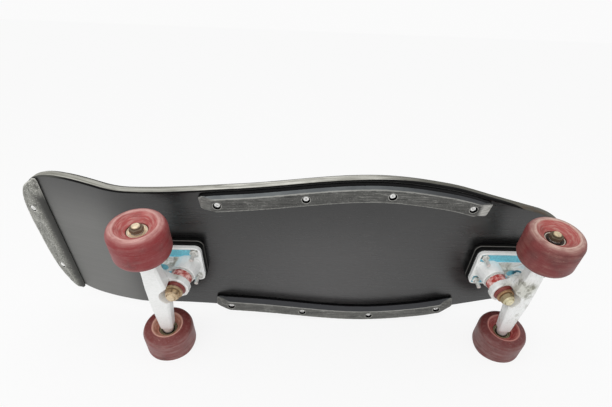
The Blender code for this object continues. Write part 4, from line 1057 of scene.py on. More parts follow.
def make_grip(material):
    half = inset(half_outline(), GRIP_INSET)
    mesh = plate("grip", half, DECK_THICKNESS + GAP, DECK_THICKNESS + GRIP_TOP, 0.0003, 2)
    for spot in bolt_places():
        mesh = drill(mesh, GRIP_HOLE, 32, -0.003, 0.003, spot)
    kicked(mesh)
    coat(mesh, material)
    weighted(piece("grip_sheet", mesh, "board", ["grip_tape"]))


# Node trees for meshes

def run_tree(name, tree, values, source=None):
    """Run a Geometry Nodes tree with its inputs given by name, and give the plain mesh."""
    holder = show(name, source or bpy.data.meshes.new(name))
    change = holder.modifiers.new("Geometry Nodes", "NODES")
    change.node_group = tree
    for socket in tree.interface.items_tree:
        if socket.item_type == "SOCKET" and socket.in_out == "INPUT" and socket.name in values:
            change[socket.identifier] = values[socket.name]
    holder.update_tag()
    return settle(holder)


def by_index(tree, sort, values):
    """Give each point its own value, in order."""
    index = field(tree, "GeometryNodeInputIndex")
    switch = put(tree, "GeometryNodeIndexSwitch", {0: index}, data_type=sort)
    while len(switch.index_switch_items) < len(values):
        switch.index_switch_items.new()
    fill(switch, dict(enumerate(values, 1)))
    return Field(switch.outputs[0])


def outline_curve(tree, spots):
    """A closed curve through spots given across and up."""
    corners = [field(tree, "ShaderNodeCombineXYZ", {0: across, 1: up}) for across, up in spots]
    ring = field(tree, "GeometryNodeCurvePrimitiveCircle", {"Resolution": len(spots), "Radius": 0.01})
    return ring.then("GeometryNodeSetPosition", {"Position": by_index(tree, "VECTOR", corners)})


def finished(geometry, material):
    made = geometry.then("GeometryNodeRealizeInstances")
    return made.then("GeometryNodeSetMaterial", {"Material": material})


@grouped("rail_bar", {
    "Path": "Geometry", "Width": 0.02, "Face Width": 0.015, "Height": 0.012, "Side Height": 0.0065,
    "Ramp": 0.0155, "Tip Height": 0.0, "Step": 0.0012, "Material": "Material",
}, {"Bar": "Geometry"}, "GeometryNodeTree")
def rail_nodes(path, width, face_width, height, side_height, ramp, tip, step, material):
    """A bar swept along the deck's edge: upright sides, bevelled road corners and ramped ends."""
    tree = width.tree
    half, face = width * 0.5, face_width * 0.5
    profile = outline_curve(tree, [
        (-half, 0.0), (half, 0.0), (half, side_height),
        (face, height), (-face, height), (-half, side_height),
    ])
    path = path.then("GeometryNodeMeshToCurve")
    path = path.then("GeometryNodeResampleCurve", {"Length": step}, mode="LENGTH")
    path = path.then("GeometryNodeSetCurveNormal", mode="Z_UP")
    place = field(tree, "GeometryNodeSplineParameter", output="Length")
    whole = field(tree, "GeometryNodeSplineLength", output="Length")
    margin = {"Name": "margin", "Value": place.sums("MINIMUM", whole - place)}
    path = path.then("GeometryNodeStoreNamedAttribute", margin, data_type="FLOAT", domain="POINT")
    bar = path.then("GeometryNodeCurveToMesh", {1: profile, "Fill Caps": True})
    kept = field(tree, "GeometryNodeInputNamedAttribute", {"Name": "margin"}, data_type="FLOAT")
    allowed = -kept.sums("MULTIPLY_ADD", (height - tip) / ramp, tip)
    x, y, z = field(tree, "GeometryNodeInputPosition").split()
    lifted = field(tree, "ShaderNodeCombineXYZ", {0: x, 1: y, 2: z.most(allowed)})
    bar = bar.then("GeometryNodeSetPosition", {"Position": lifted})
    return finished(bar.then("GeometryNodeMergeByDistance", {"Distance": MERGE}), material)


WHEEL_SIZES = {
    "Radius": WHEEL_RADIUS, "Half Width": 0.0215, "Rim Radius": 0.0224, "Inner Rim Radius": 0.0180,
    "Dish Radius": 0.0132, "Dish Depth": 0.0071, "Seat Radius": 0.0113, "Hub Radius": 0.0087,
    "Hub Half": 0.00485, "Shoulder": 0.0070, "Steps": 128,
}


@grouped("turned_wheel", {**WHEEL_SIZES, "Material": "Material"}, {"Wheel": "Geometry"}, "GeometryNodeTree")
def wheel_nodes(radius, half, outer_rim, inner_rim, dish, dish_depth, seat, hub, hub_half, shoulder,
                steps, material):
    """A ring turned round Z from a few sizes. Its outline's corners are eased one by one."""
    lip = half - dish_depth
    corners = []
    for side, rim in ((1.0, outer_rim), (-1.0, inner_rim)):
        crest = shoulder.sums("MULTIPLY_ADD", -0.38, half)
        slope = shoulder.sums("MULTIPLY_ADD", -0.30, radius)
        tread = shoulder.sums("MULTIPLY_ADD", -1.15, half)
        run = [
            (hub, hub_half, 0.0), (seat, hub_half, 0.0), (seat, lip - 0.0008, 0.0003), (dish, lip, 0.0012),
            (rim, half, 0.0011), (slope, crest, 0.0045), (radius, tread, 0.0045),
        ]
        placed = [(r, z * side, eased) for r, z, eased in run]
        corners += placed if side > 0 else placed[::-1]
    tree = radius.tree
    profile = outline_curve(tree, [(r - radius, -z) for r, z, _ in corners])
    eases = by_index(tree, "FLOAT", [eased for _, _, eased in corners])
    easing = {"Count": 5, "Radius": eases, "Limit Radius": True}
    profile = profile.then("GeometryNodeFilletCurve", easing, mode="POLY")
    circle = field(tree, "GeometryNodeCurvePrimitiveCircle", {"Resolution": steps, "Radius": radius})
    made = circle.then("GeometryNodeCurveToMesh", {1: profile})
    spot = {"Name": "spot", "Value": field(tree, "GeometryNodeInputPosition")}
    made = made.then("GeometryNodeStoreNamedAttribute", spot, data_type="FLOAT_VECTOR", domain="POINT")
    return finished(made, material)


@grouped("fastener_pattern", {
    "Points": "Geometry", "Fastener": "Object", "Facing": (0.0, 0.0, 1.0), "Seed": 1,
    "Material": "Material",
}, {"Fasteners": "Geometry"}, "GeometryNodeTree")
def pattern_nodes(points, fastener, facing, seed, material):
    """One fastener set on every given point, facing along the given direction, each with its own turn."""
    tree = points.tree
    shape = field(tree, "GeometryNodeObjectInfo", {"Object": fastener, "As Instance": True}, "Geometry")
    aim = field(tree, "FunctionNodeAlignRotationToVector", {"Vector": facing}, axis="Z")
    chance = {"Seed": seed, 2: 0.0, 3: 2 * math.pi}
    turn = field(tree, "FunctionNodeRandomValue", chance, 1, data_type="FLOAT")
    spin = field(tree, "ShaderNodeCombineXYZ", {2: turn})
    spun = aim.then("FunctionNodeRotateRotation", {1: spin}, rotation_space="LOCAL")
    placed = points.then("GeometryNodeInstanceOnPoints", {"Instance": shape, "Rotation": spun})
    return finished(placed, material)


def set_out(name, spots, fastener, facing, seed, material):
    """Set one fastener on each spot with the pattern tree."""
    points = bpy.data.meshes.new(name)
    points.from_pydata([tuple(spot) for spot in spots], [], [])
    values = {"Fastener": fastener, "Facing": facing, "Seed": seed, "Material": material}
    return run_tree(name, pattern_nodes, values, points)


def cross_head(radius, height, shank, length):
    """A countersunk screw with a cross recess, its face at z = 0 and its shank down."""
    mesh = turned("screw", [
        (0.0, 0.0002), (radius - 0.0006, 0.0001), (radius, -0.0004, 0.0002), (radius, -0.0008),
        (shank, -height), (shank, -length), (0.0, -length),
    ], 32, closed=False)
    wide, deep = radius * 0.62, radius * 0.42
    for turn in (0.0, math.pi / 2):
        bm = bmesh.new()
        bmesh.ops.create_cube(bm, size=1.0)
        for vert in bm.verts:
            low = vert.co.z < 0
            vert.co.x *= wide * (0.7 if low else 2.0)
            vert.co.y *= radius * (0.17 if low else 0.26)
            vert.co.z = -deep if low else 0.001
        mesh = carve(mesh, to_mesh(bm, "blade"), Matrix.Rotation(turn, 4, "Z"))
    return shade(keep_spots(mesh), 30.0)


# Rails and guard

def rub(mesh, depth, scale, seed):
    """Press shallow dents into what faces the road."""
    for vert, normal in zip(mesh.vertices, read(mesh, "normal")):
        share = max(float(normal @ ROAD), 0.0)
        spot = Vector(vert.co) * scale + Vector((seed, seed, seed))
        dent = max(noise.fractal(spot, 0.9, 2.0, 4), 0.0)
        vert.co -= Vector(normal) * depth * dent * share
    mesh.update()


def facing_share(mesh, facing, low, high):
    return clipped((read(mesh, "normal") @ np.array(facing) - low) / (high - low))


def near_holes(mesh, heads, radius):
    """1 in a narrow ring round each hole."""
    spots = read(mesh)
    rim = np.zeros(len(spots))
    for head in heads:
        away = np.hypot(spots[:, 0] - head[0], spots[:, 1] - head[1]) - radius
        rim = np.maximum(rim, clipped(1.0 - np.abs(away - 0.0003) / 0.0012))
    return rim


def two_plastics(mesh, worn, fresh, heads, radius, steepest, black_above):
    """Worn plastic where the road can rub, fresh plastic on upright sides, inside the holes and in a band
    next to the wood whose black is partly painted shade.
    """
    coat(mesh, worn, fresh)
    for face in mesh.polygons:
        slant = float(np.dot(face.normal, ROAD))
        # faces near the wood stay black: partly unworn plastic, partly painted shade along the deck
        kept_black = slant < steepest or (slant < 0.45 and face.center.z > black_above)
        for head in heads:
            kept_black |= math.hypot(face.center.x - head[0], face.center.y - head[1]) < radius * 1.01
        face.material_index = int(kept_black)


def rail_place(x):
    """Centre line of the left rail at this length along the board."""
    step = RAIL_WIDTH / 4
    before = side_half_width(x - step - BLANK_END)
    after = side_half_width(x + step - BLANK_END)
    along = Vector((2 * step, after - before)).normalized()
    return Vector((x, side_half_width(x - BLANK_END))) + Vector((along.y, -along.x)) * RAIL_INSET


def rail_margin(x):
    """Distance from the rail's nearer end."""
    return RAIL_LENGTH / 2 - abs(x - RAIL_MIDDLE)


def outwards(spot, side):
    """Distance outwards from the rail's centre line."""
    return side * (spot.y - rail_place(spot.x).y * side)


def rail_bar(side, seed, worn):
    """The bar with blunt, slightly skewed ends and rubbed dents, its top at z = 0."""
    start = RAIL_MIDDLE - RAIL_LENGTH / 2
    line = [rail_place(start + RAIL_LENGTH * index / RAIL_STEPS) for index in range(RAIL_STEPS + 1)]
    path = bpy.data.meshes.new("path")
    steps = [(index, index + 1) for index in range(RAIL_STEPS)]
    path.from_pydata([(spot.x, spot.y * side, 0.0) for spot in line], steps, [])
    values = {
        "Width": RAIL_WIDTH, "Face Width": RAIL_FACE, "Height": RAIL_HEIGHT, "Side Height": RAIL_SIDE,
        "Ramp": RAIL_RAMP, "Tip Height": RAIL_TIP, "Material": worn,
    }
    mesh = soften(run_tree("bar", rail_nodes, values, path), PLASTIC_GRID, 4)
    for vert in mesh.vertices:
        margin = rail_margin(vert.co.x)
        at_nose = vert.co.x > RAIL_MIDDLE
        reach, cut = RAIL_NOSES[1 if at_nose else -1]
        if margin < reach:
            middle = rail_place(vert.co.x).y * side
            kept = 1 - cut + cut * math.sqrt(1 - min(1 - margin / reach, 1.0) ** 2)
            vert.co.y = middle + (vert.co.y - middle) * kept
        if at_nose and margin < RAIL_RAMP:
            inner = 0.5 - outwards(vert.co, side) / RAIL_WIDTH
            vert.co.x += RAIL_LEAN * inner * (1 - margin / RAIL_RAMP)
    relax(mesh, clipped((RAIL_RAMP + 0.004 - rail_margin(read(mesh)[:, 0])) / 0.006), 45)
    rub(mesh, 0.00035, 190.0, seed)
    return mark_edges(mesh)


def mark_rail(mesh, side, heads):
    """Store where a rail is rubbed: its road face, outer flank, pale corner line, hole rims and ramps."""
    along = read(mesh)[:, 0]
    margins = rail_margin(along)
    flank = (0.0, side, 0.0)
    store(mesh, "road", facing_share(mesh, ROAD, RAIL_SLANT + 0.1, 0.9))
    fading = np.interp(along, (-0.14, 0.10, 0.17), (1.0, 0.5, 0.1))
    store(mesh, "outer", facing_share(mesh, flank, 0.2, 0.6) * fading)
    across = np.array([outwards(vert.co, side) for vert in mesh.vertices])
    corner_line = clipped(1.25 - np.abs(across - RAIL_FACE / 2) / 0.0010)
    corner_line *= facing_share(mesh, ROAD, 0.3, 0.5) * clipped((margins - RAIL_RAMP) / 0.006)
    corner_line *= np.interp(along, (0.05, 0.11), (1.0, 0.2))
    store(mesh, "rim", np.maximum(near_holes(mesh, heads, RAIL_HOLE[0]), 0.85 * corner_line))
    rubbed = np.where(along > RAIL_MIDDLE, 1.0, 0.2) if side < 0 else 0.0
    ramp = clipped((RAIL_RAMP + 0.002 - margins) / 0.006) * rubbed
    ramp *= 1.0 - facing_share(mesh, flank, 0.25, 0.5)
    store(mesh, "ramp", ramp * facing_share(mesh, ROAD, 0.15, 0.45))


def make_rail(name, side, seed, worn, fresh, screw, metal):
    mesh = rail_bar(side, seed, worn)
    radius, depth = RAIL_HOLE
    top = DECK_Z - GAP
    heads = []
    for index in range(RAIL_SCREWS):
        spot = rail_place(RAIL_MIDDLE + RAIL_PITCH * (index - (RAIL_SCREWS - 1) / 2))
        place = (spot.x, spot.y * side, 0.0)
        mesh = drill(mesh, radius, 40, -RAIL_HEIGHT - 0.003, -RAIL_HEIGHT + depth, place)
        heads.append((*place[:2], top - RAIL_HEIGHT + depth - 0.0024))
    mark_rail(mesh, side, heads)
    shade(mesh, 50.0).transform(raised(top))
    piece(name + "_bar", mesh, "board", [name])
    two_plastics(mesh, worn, fresh, heads, radius, RAIL_SLANT * 0.6, top - RAIL_BLACK_BANDS[side])
    piece(name + "_screws", set_out(name + "_screws", heads, screw, (0.0, 0.0, -1.0), seed, metal), "board")


def guard_depth(distance):
    """Thickness of the guard at a distance from the board's end."""
    if distance > GUARD_WORN:
        share = min((distance - GUARD_WORN) / (GUARD_LENGTH - GUARD_WORN), 1.0)
        return GUARD_INNER + (GUARD_THICKNESS - GUARD_INNER) * math.cos(math.pi / 2 * share) ** 0.85
    share = max((distance - GUARD_INSET) / (GUARD_WORN - GUARD_INSET), 0.0)
    return GUARD_END + (GUARD_THICKNESS - GUARD_END) * share


def guard_outline():
    """The tail's end, cut straight across with eased corners."""
    inner = BLANK_END + GUARD_LENGTH
    half = inset(half_outline(), GUARD_INSET)
    kept = [point for point in half if point[0] < inner]
    after, last = half[len(kept)], kept[-1]
    wide = last[1] + (after[1] - last[1]) * (inner - last[0]) / (after[0] - last[0])
    kept = [point for point in kept if point[0] < inner - 0.0045]
    for back, narrower in ((0.0040, 0.0), (0.0016, 0.0007), (0.0004, 0.0020), (0.0, 0.0045)):
        kept.append((inner - back, wide - narrower))
    return [*kept, *[(x, -y) for x, y in reversed(kept[1:])]]


def guard_plate():
    """The guard under the flat blank: worn round, thin along its inner edge and skewed."""
    outline = guard_outline()
    bm = stacked([[(x, y, z) for x, y in outline] for z in (-GAP - GUARD_THICKNESS, -GAP)])
    for strip in range(GUARD_STRIPS):
        cut_across(bm, BLANK_END + GUARD_WORN + (GUARD_LENGTH - GUARD_WORN) * strip / GUARD_STRIPS, MERGE)
    for vert in bm.verts:
        if vert.co.z < -GAP - GUARD_THICKNESS / 2:
            vert.co.z = -GAP - guard_depth(vert.co.x - BLANK_END)
    mesh = soften(to_mesh(bm, "guard"), PLASTIC_GRID, 12)
    for vert in mesh.vertices:
        past = max((vert.co.x - BLANK_END - GUARD_WORN) / (GUARD_LENGTH - GUARD_WORN), 0.0)
        vert.co.x -= GUARD_SKEW * past * (0.5 + vert.co.y / 0.2)
    mesh.update()
    rub(mesh, 0.0005, 160.0, 9.0)
    return mark_edges(mesh)


def make_guard(worn, fresh, screw, metal):
    mesh = guard_plate()
    surface = -GAP - guard_depth(GUARD_SCREW_X)
    heads = [(BLANK_END + GUARD_SCREW_X, side * GUARD_SCREW_Y) for side in (-1, 1)]
    for head in heads:
        hole = countersink(GUARD_HOLE, SCREW_NECK, 0.004, 0.0, -0.0028, 40)
        mesh = carve(mesh, hole, Matrix.Translation((*head, surface)) @ FLIP)
    spots = read(mesh)
    back = spots[:, 0] - BLANK_END
    ground = np.maximum(clipped((0.0345 - back) / 0.0180), 0.85 * clipped((-0.062 - spots[:, 1]) / 0.026))
    store(mesh, "road", facing_share(mesh, ROAD, 0.1, 0.6) * ground)
    store(mesh, "outer", ground)
    store(mesh, "ramp", np.zeros(len(spots)))
    store(mesh, "rim", np.maximum(near_holes(mesh, heads, GUARD_HOLE), 0.6 * clipped(1.3 - back / 0.008)))
    two_plastics(mesh, worn, fresh, heads, GUARD_HOLE, 0.15, 0.0)
    bend_up(mesh)
    piece("guard_plate", shade(mesh, 50.0), "board", ["tail_guard"])
    x, z = bend(heads[0][0], surface + 0.0003)
    facing = Matrix.Rotation(KICK_ANGLE, 3, "Y") @ Vector((0.0, 0.0, -1.0))
    for name, side in (("guard_screw_right", -1), ("guard_screw_left", 1)):
        seat = (x, side * GUARD_SCREW_Y, z + DECK_Z)
        made = set_out(name + "_head", [seat], screw, facing, 5 + side, metal)
        piece(name + "_head", made, "board", [name])


# Trucks

def lock_nut(width, height, bore, collar=0.0017, inset_by=0.0005):
    """A chamfered hexagon with a round collar, seated at z = 0."""
    corner = width / math.sqrt(3)
    collar_radius = width / 2 - inset_by
    lean = corner - width / 2 + 0.0002
    tool = turned("nut", [
        (0.0, 0.0), (corner - lean, 0.0), (corner, lean * 0.55), (corner, height - collar - lean * 0.55),
        (corner - lean, height - collar, 0.0003), (collar_radius, height - collar),
        (collar_radius, height, 0.0005), ((bore + collar_radius) / 2, height, 0.0002),
        ((bore + collar_radius) / 2, height - 0.0018), (0.0, height - 0.0018),
    ], 72, closed=False)
    mesh = carve(prism("nut", corner, 6, -0.001, height + 0.001), tool, operation="INTERSECT")
    return shade(keep_spots(drill(mesh, bore, 36, -0.01, DEEP)), 28.0)


def along_axle(distance=0.0):
    return Matrix.Translation((0.0, distance, 0.0)) @ Matrix.Rotation(-math.pi / 2, 4, "X")


def wheel_mesh(inner_rim):
    """A wheel with a wide dish and sloped shoulder on its outer side, and a small dish inside."""
    mesh = run_tree("wheel", wheel_nodes, {**WHEEL_SIZES, "Inner Rim Radius": inner_rim})
    return shade(edited(mesh, lambda bm: bmesh.ops.recalc_face_normals(bm, faces=bm.faces)), 40.0)


def race_mesh():
    """A bearing's outer race."""
    radius, half = BEARING
    return turned("race", [
        (radius, half, 0.0005), (radius, -half, 0.0005), (0.0096, -half, 0.0002), (0.0094, -0.0028),
        (0.0094, 0.0028), (0.0096, half, 0.0002),
    ], 96)


def shield_mesh():
    """The pressed shield inside a race, on the side that shows."""
    return turned("shield", [
        (0.0096, 0.0030), (0.0092, 0.0029), (0.0088, 0.0027), (0.0072, 0.0027, 0.0003),
        (0.0064, 0.0030, 0.0002), (0.0064, 0.0025), (0.0085, 0.0022), (0.0096, 0.0025),
    ], 96)


def sleeve_mesh():
    """Inner races, spacer and speed washers, as one turned piece on the axle."""
    bore = AXLE_RADIUS + GAP
    side = [
        (0.0056, SLEEVE, 0.0002), (0.0056, 0.01225), (0.0060, 0.01215, 0.0003), (0.0060, 0.00515, 0.0003),
        (0.0050, 0.00515),
    ]
    mirrored = [(radius, -z, *ease) for radius, z, *ease in reversed(side)]
    return turned("sleeve", [*side, *mirrored, (bore, -SLEEVE), (bore, SLEEVE)], 64)


def washer_mesh(bushing):
    """A cup washer that holds the end of a bushing of this radius."""
    inner = bushing + GAP
    outer = inner + 0.0008
    return turned("washer", [
        (outer, WASHER_RIM, 0.0003), (outer, 0.0, 0.0010), (KINGPIN_BORE, 0.0, 0.0002),
        (KINGPIN_BORE, WASHER, 0.0002), (inner, WASHER, 0.0006), (inner, WASHER_RIM, 0.0003),
    ], 80)


def top_bushing_mesh():
    radius, height = TOP_BUSHING
    return turned("bushing", [
        (radius - 0.0004, height, 0.0004), (radius, height - 0.003, 0.001), (radius, 0.003, 0.001),
        (radius - 0.0004, 0.0, 0.0004), (KINGPIN_BORE, 0.0), (KINGPIN_BORE, height),
    ], 96)


def low_bushing_mesh():
    radius, height = LOW_BUSHING
    foot = WASHER_RIM - WASHER
    return turned("bushing", [
        (radius, 0.0, 0.0002), (radius, -0.002, 0.0010), (LOW_BUSHING_TIP, foot - height, 0.0008),
        (LOW_BUSHING_TIP, -height, 0.0003), (KINGPIN_BORE, -height), (KINGPIN_BORE, 0.0),
    ], 96)


def threads(radius, tip, stop, ease):
    """An outline from a bolt's tip on the axis, over its threads, to where they stop."""
    way = 1 if stop > tip else -1
    points = [(0.0, tip), (radius - 0.0009, tip, ease)]
    z = tip + way * 0.0006
    while (stop - z) * way > 0:
        points += [(radius, z), (radius - THREAD_DEPTH, z + way * THREAD_PITCH / 2)]
        z += way * THREAD_PITCH
    return [*points, (radius, z)]


def kingpin_mesh():
    radius, neck, top = KINGPIN_HEAD
    shank = threads(KINGPIN_RADIUS, KINGPIN_END, LOW_WASHER_Z, 0.0003)
    head = [(KINGPIN_RADIUS, neck), (radius, neck, 0.0003), (radius, top, 0.0005), (0.0, top)]
    return turned("kingpin", shank + head, 48, closed=False)


def axle_mesh():
    points = threads(AXLE_RADIUS, AXLE_HALF, NUT_FACE - 0.001, 0.0002)
    points += [(radius, -height, *rest) for radius, height, *rest in reversed(points)]
    return turned("axle", points, 40, closed=False)


def cup_mesh():
    """The plastic cup that the hanger's pivot turns in, along the steering line."""
    reach = math.hypot(RING_X - PIVOT_X, PIVOT_Z - RING_Z)
    outer, bore = 0.0086, 0.0066
    end, mouth = reach + 0.0065, reach - 0.0065
    floor = end - 0.0018
    return turned("cup", [
        (0.0, end), (outer, end, 0.001), (outer, mouth, 0.0006),
        (bore, mouth, 0.0006), (bore, floor), (0.0, floor),
    ], 64, closed=False)


def riser_mesh(low):
    """One rubber layer with round corners, from this height up."""
    half, back, front = [size + RISER_RIM - RISER_CORNER for size in (BASE[2], BASE[1], BASE[0])]
    points = []
    for quarter, (x, y) in enumerate(((front, half), (-back, half), (-back, -half), (front, -half))):
        for step in range(9):
            angle = math.pi / 2 * (quarter + step / 8)
            points.append((x + RISER_CORNER * math.cos(angle), y + RISER_CORNER * math.sin(angle)))
    mesh = to_mesh(stacked([[(x, y, z) for x, y in points] for z in (low, low + RISER)]), "riser")
    for x, y in BOLT_SPOTS:
        mesh = drill(mesh, BOLT_RADIUS + GAP, 24, low - 0.01, low + DEEP, (x, y, 0.0))
    return mark_edges(soften(mesh, RISER_GRID, 3), 3, 0.001)


def baseplate_mesh(bare_front):
    """The casting. Paint is left in its side channels, bare this far at the front, and in a hollow
    between pivot and kingpin.
    """
    mesh = mark_edges(soften(solid_copy("tail_baseplate", TRUCKS["tail"]), CASTING_GRID, 4))
    spots = read(mesh)
    x, y, z = spots.T
    inner, outer, depth = CHANNEL
    inside = (np.abs(y) > inner - 0.0004) & (np.abs(y) < outer + 0.0004)
    inside &= (x > BASE_RIM - BASE[1]) & (x < BASE[0] - BASE_RIM - bare_front)
    deep = clipped((z - BASE_FACE - 0.0004) / 0.0012) * inside * (z < BASE_FACE + depth + 0.001)
    hollow_x, hollow_y, reach_x, reach_y, face = PAINT_HOLLOW
    away = ((x - hollow_x) / reach_x) ** 2 + ((y - hollow_y) / reach_y) ** 2
    bowl = clipped(1.2 - away) * (np.abs(z - face) < 0.0025)
    store(mesh, "painted", np.maximum(deep, bowl))
    spots[:, 2] += 0.0008 * bowl
    place_vertices(mesh, spots)
    return mesh


def hanger_mesh():
    return mark_edges(soften(solid_copy("tail_hanger", TRUCKS["tail"]), CASTING_GRID, 4))


def truck_bolt_mesh():
    """A cross-head bolt and its nut under the baseplate, the head's face at z = 0."""
    reach = DECK_UNDER + DECK_THICKNESS
    mesh = cross_head(BOLT_HEAD[0], 0.0027, BOLT_RADIUS, reach - BOLT_TIP)
    nut = lock_nut(*BOLT_NUT, BOLT_RADIUS, 0.0010, 0.0003)
    nut.transform(raised(-(reach - (BASE_FACE + CHANNEL[2]) + GAP)) @ FLIP)
    return shade(keep_spots(edited(mesh, lambda bm: bm.from_mesh(nut))), 30.0)


def fit_truck(end, place, looks, meshes, bolt):
    """Set every piece of one truck in its place."""
    still = Matrix.Identity(4)
    hanger_body = end + "_hanger_body"

    def fit(name, mesh, look, spot=still, body="board", node=None):
        own = mesh.copy()
        own.transform(place @ spot)
        coat(own, look)
        return piece(end + "_" + name + "_part", own, body, [node or end + "_" + name])

    fit("baseplate", meshes[end + "_baseplate"], looks["baseplate"])
    fit("riser_low", meshes["riser_low"], looks["riser"])
    fit("riser_high", meshes["riser_high"], looks["riser"])
    fit("pivot_cup", meshes["cup"], looks["cup"], STEERING)
    fit("kingpin", meshes["kingpin"], looks["kingpin_nut"], KINGPIN)
    seat = KINGPIN @ (raised(KINGPIN_NUT_Z) @ FLIP)
    fit("kingpin_nut", meshes["kingpin_nut"], looks["kingpin_nut"], seat)
    for name, seat_z, height in (
        ("top_bushing", BUSHING_SEAT, TOP_BUSHING[1]), ("low_bushing", -BUSHING_SEAT, -LOW_BUSHING[1]),
    ):
        made = fit(name, meshes[name], looks[name], KINGPIN @ raised(seat_z), None)
        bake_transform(made)
    seat = KINGPIN @ raised(TOP_WASHER_Z + WASHER) @ FLIP
    fit("top_washer", meshes["top_washer"], looks["bright"], seat)
    seat = KINGPIN @ raised(LOW_WASHER_Z - WASHER)
    fit("low_washer", meshes["low_washer"], looks["low_washer"], seat)
    fit("hanger", meshes["hanger"], looks["hanger"], body=hanger_body)
    fit("axle", meshes["axle"], looks["axle_nut"], along_axle(), hanger_body)
    heads = [place @ Vector((x, y, DECK_UNDER + DECK_THICKNESS)) for x, y in BOLT_SPOTS]
    bolts = set_out(end + "_bolts", heads, bolt, (0.0, 0.0, 1.0), 3, looks["bright"])
    nodes = ["%s_bolt_%d" % (end, index) for index in (1, 2, 3, 4)]
    piece(end + "_bolts", bolts, "board", nodes)

    left = 1 if end == "tail" else -1
    for side_name, side in (("right", -left), ("left", left)):
        turn = still if side > 0 else FLIP
        wheel_body = end + "_" + side_name + "_wheel_body"
        spot = along_axle(side * NUT_FACE) @ turn
        fit(side_name + "_axle_nut", meshes["axle_nut"], looks["axle_nut"], spot, hanger_body)
        spot = along_axle(side * TRACK / 2) @ turn
        fit(side_name + "_sleeve", meshes["sleeve"], looks["steel"], spot, hanger_body)
        wheel = wheel_mesh(INNER_RIMS[end, side_name])
        fit(side_name + "_wheel", wheel, looks[side_name + "_wheel"], spot, wheel_body)
        for label, facing in (("outer", still), ("inner", FLIP)):
            at = spot @ facing @ raised(BEARING_PLACE)
            node = "%s_%s_%s_bearing" % (end, side_name, label)
            for part in ("race", "shield"):
                name = "%s_%s_%s" % (side_name, label, part)
                fit(name, meshes[part], looks[label + "_" + part], at, wheel_body, node)


def fit_trucks(looks):
    meshes = {
        "tail_baseplate": baseplate_mesh(0.006), "nose_baseplate": baseplate_mesh(0.0),
        "hanger": hanger_mesh(),
        "riser_low": riser_mesh(RISER_LOW), "riser_high": riser_mesh(RISER_HIGH), "cup": cup_mesh(),
        "kingpin": kingpin_mesh(), "kingpin_nut": lock_nut(*KINGPIN_NUT, KINGPIN_RADIUS),
        "top_bushing": top_bushing_mesh(), "low_bushing": low_bushing_mesh(),
        "top_washer": washer_mesh(TOP_BUSHING[0]), "low_washer": washer_mesh(LOW_BUSHING_TIP),
        "axle": axle_mesh(), "axle_nut": lock_nut(*AXLE_NUT, AXLE_RADIUS, 0.0016, 0.0014),
        "sleeve": sleeve_mesh(), "race": race_mesh(), "shield": shield_mesh(),
    }
    bolt = show("truck_bolt", truck_bolt_mesh())
    for end, place in TRUCKS.items():
        fit_truck(end, place, {**looks, **looks[end]}, meshes, bolt)
    bpy.data.objects.remove(bolt)


# Stage

def seen_light(tree):
    """1 for rays that show the stage itself: straight from the camera, mirrored or through glass."""
    paths = put(tree, "ShaderNodeLightPath").outputs
    sorts = ("Camera", "Glossy", "Transmission")
    camera, glossy, clear = [Field(paths["Is %s Ray" % sort]) for sort in sorts]
    return camera.sums("ADD", glossy + clear, clamp=True)


def stage_material():
    """A pale floor that is white to the camera and can't be seen from behind."""
    made, tree = new_material("white_floor", 0.9, specular=0.0)
    shader = tree.nodes["Principled BSDF"]
    fill(shader, {"Base Color": tone(247, 247, 247)})
    light = field(tree, "ShaderNodeEmission", {"Color": tone(254, 254, 254), "Strength": 1.0})
    away = field(tree, "ShaderNodeBsdfTransparent")
    front = (seen_light(tree) * 0.86).then("ShaderNodeMixShader", {1: Field(shader.outputs[0]), 2: light})
    behind = field(tree, "ShaderNodeNewGeometry", output="Backfacing")
    both = behind.then("ShaderNodeMixShader", {1: front, 2: away})
    both.into(tree.nodes["Material Output"].inputs["Surface"])
    return made


def set_stage():
    """The board stands on its hip and on the ends of its axles, on a wide pale floor."""
    hip, tip = Vector((0.0, 0.1238, 0.0945)), Vector((0.0, AXLE_HALF + 0.0002, WHEEL_RADIUS - 0.004))
    up_floor = (hip - tip).normalized()
    bm = bmesh.new()
    for x, reach in ((-12.0, -4.0), (12.0, -4.0), (12.0, 14.0), (-12.0, 14.0)):
        bm.verts.new(tip + Vector((x, 0.0, 0.0)) + up_floor * reach)
    bm.faces.new(bm.verts)
    mesh = bpy.data.meshes.new("floor")
    bm.normal_update()
    if bm.faces[:][0].normal.y > 0:
        bmesh.ops.reverse_faces(bm, faces=bm.faces[:])
    bm.to_mesh(mesh)
    bm.free()
    mesh.materials.append(stage_material())
    show("floor", mesh)

    world = bpy.data.worlds.new("studio")
    world.use_nodes = True
    bpy.context.scene.world = world
    strength = between(seen_light(world.node_tree), 0.72, 0.96)
    fill(world.node_tree.nodes["Background"], {"Color": (1.0, 1.0, 1.0, 1.0), "Strength": strength})

    key = bpy.data.lights.new("key", "AREA")
    key.shape = "DISK"
    key.size = 1.1
    key.energy = 5.5
    lamp = show("key", key)
    lamp.location = (-0.25, -1.15, -0.35)
    lamp.rotation_euler = (Vector((0.0, 0.0, 0.06)) - lamp.location).to_track_quat("-Z", "Y").to_euler()


def camera_turn(tilt, swing, roll):
    """Turn of a camera that looks up at the underside: tilt from straight up, swing to the side, roll."""
    turn = Matrix.Rotation(swing, 3, "Y")
    ahead = turn @ Vector((0.0, math.sin(tilt), math.cos(tilt)))
    right = turn @ Vector((1.0, 0.0, 0.0))
    down = ahead.cross(right)
    across = right * math.cos(roll) + down * math.sin(roll)
    under = down * math.cos(roll) - right * math.sin(roll)
    return Matrix((across, -under, -ahead)).transposed()


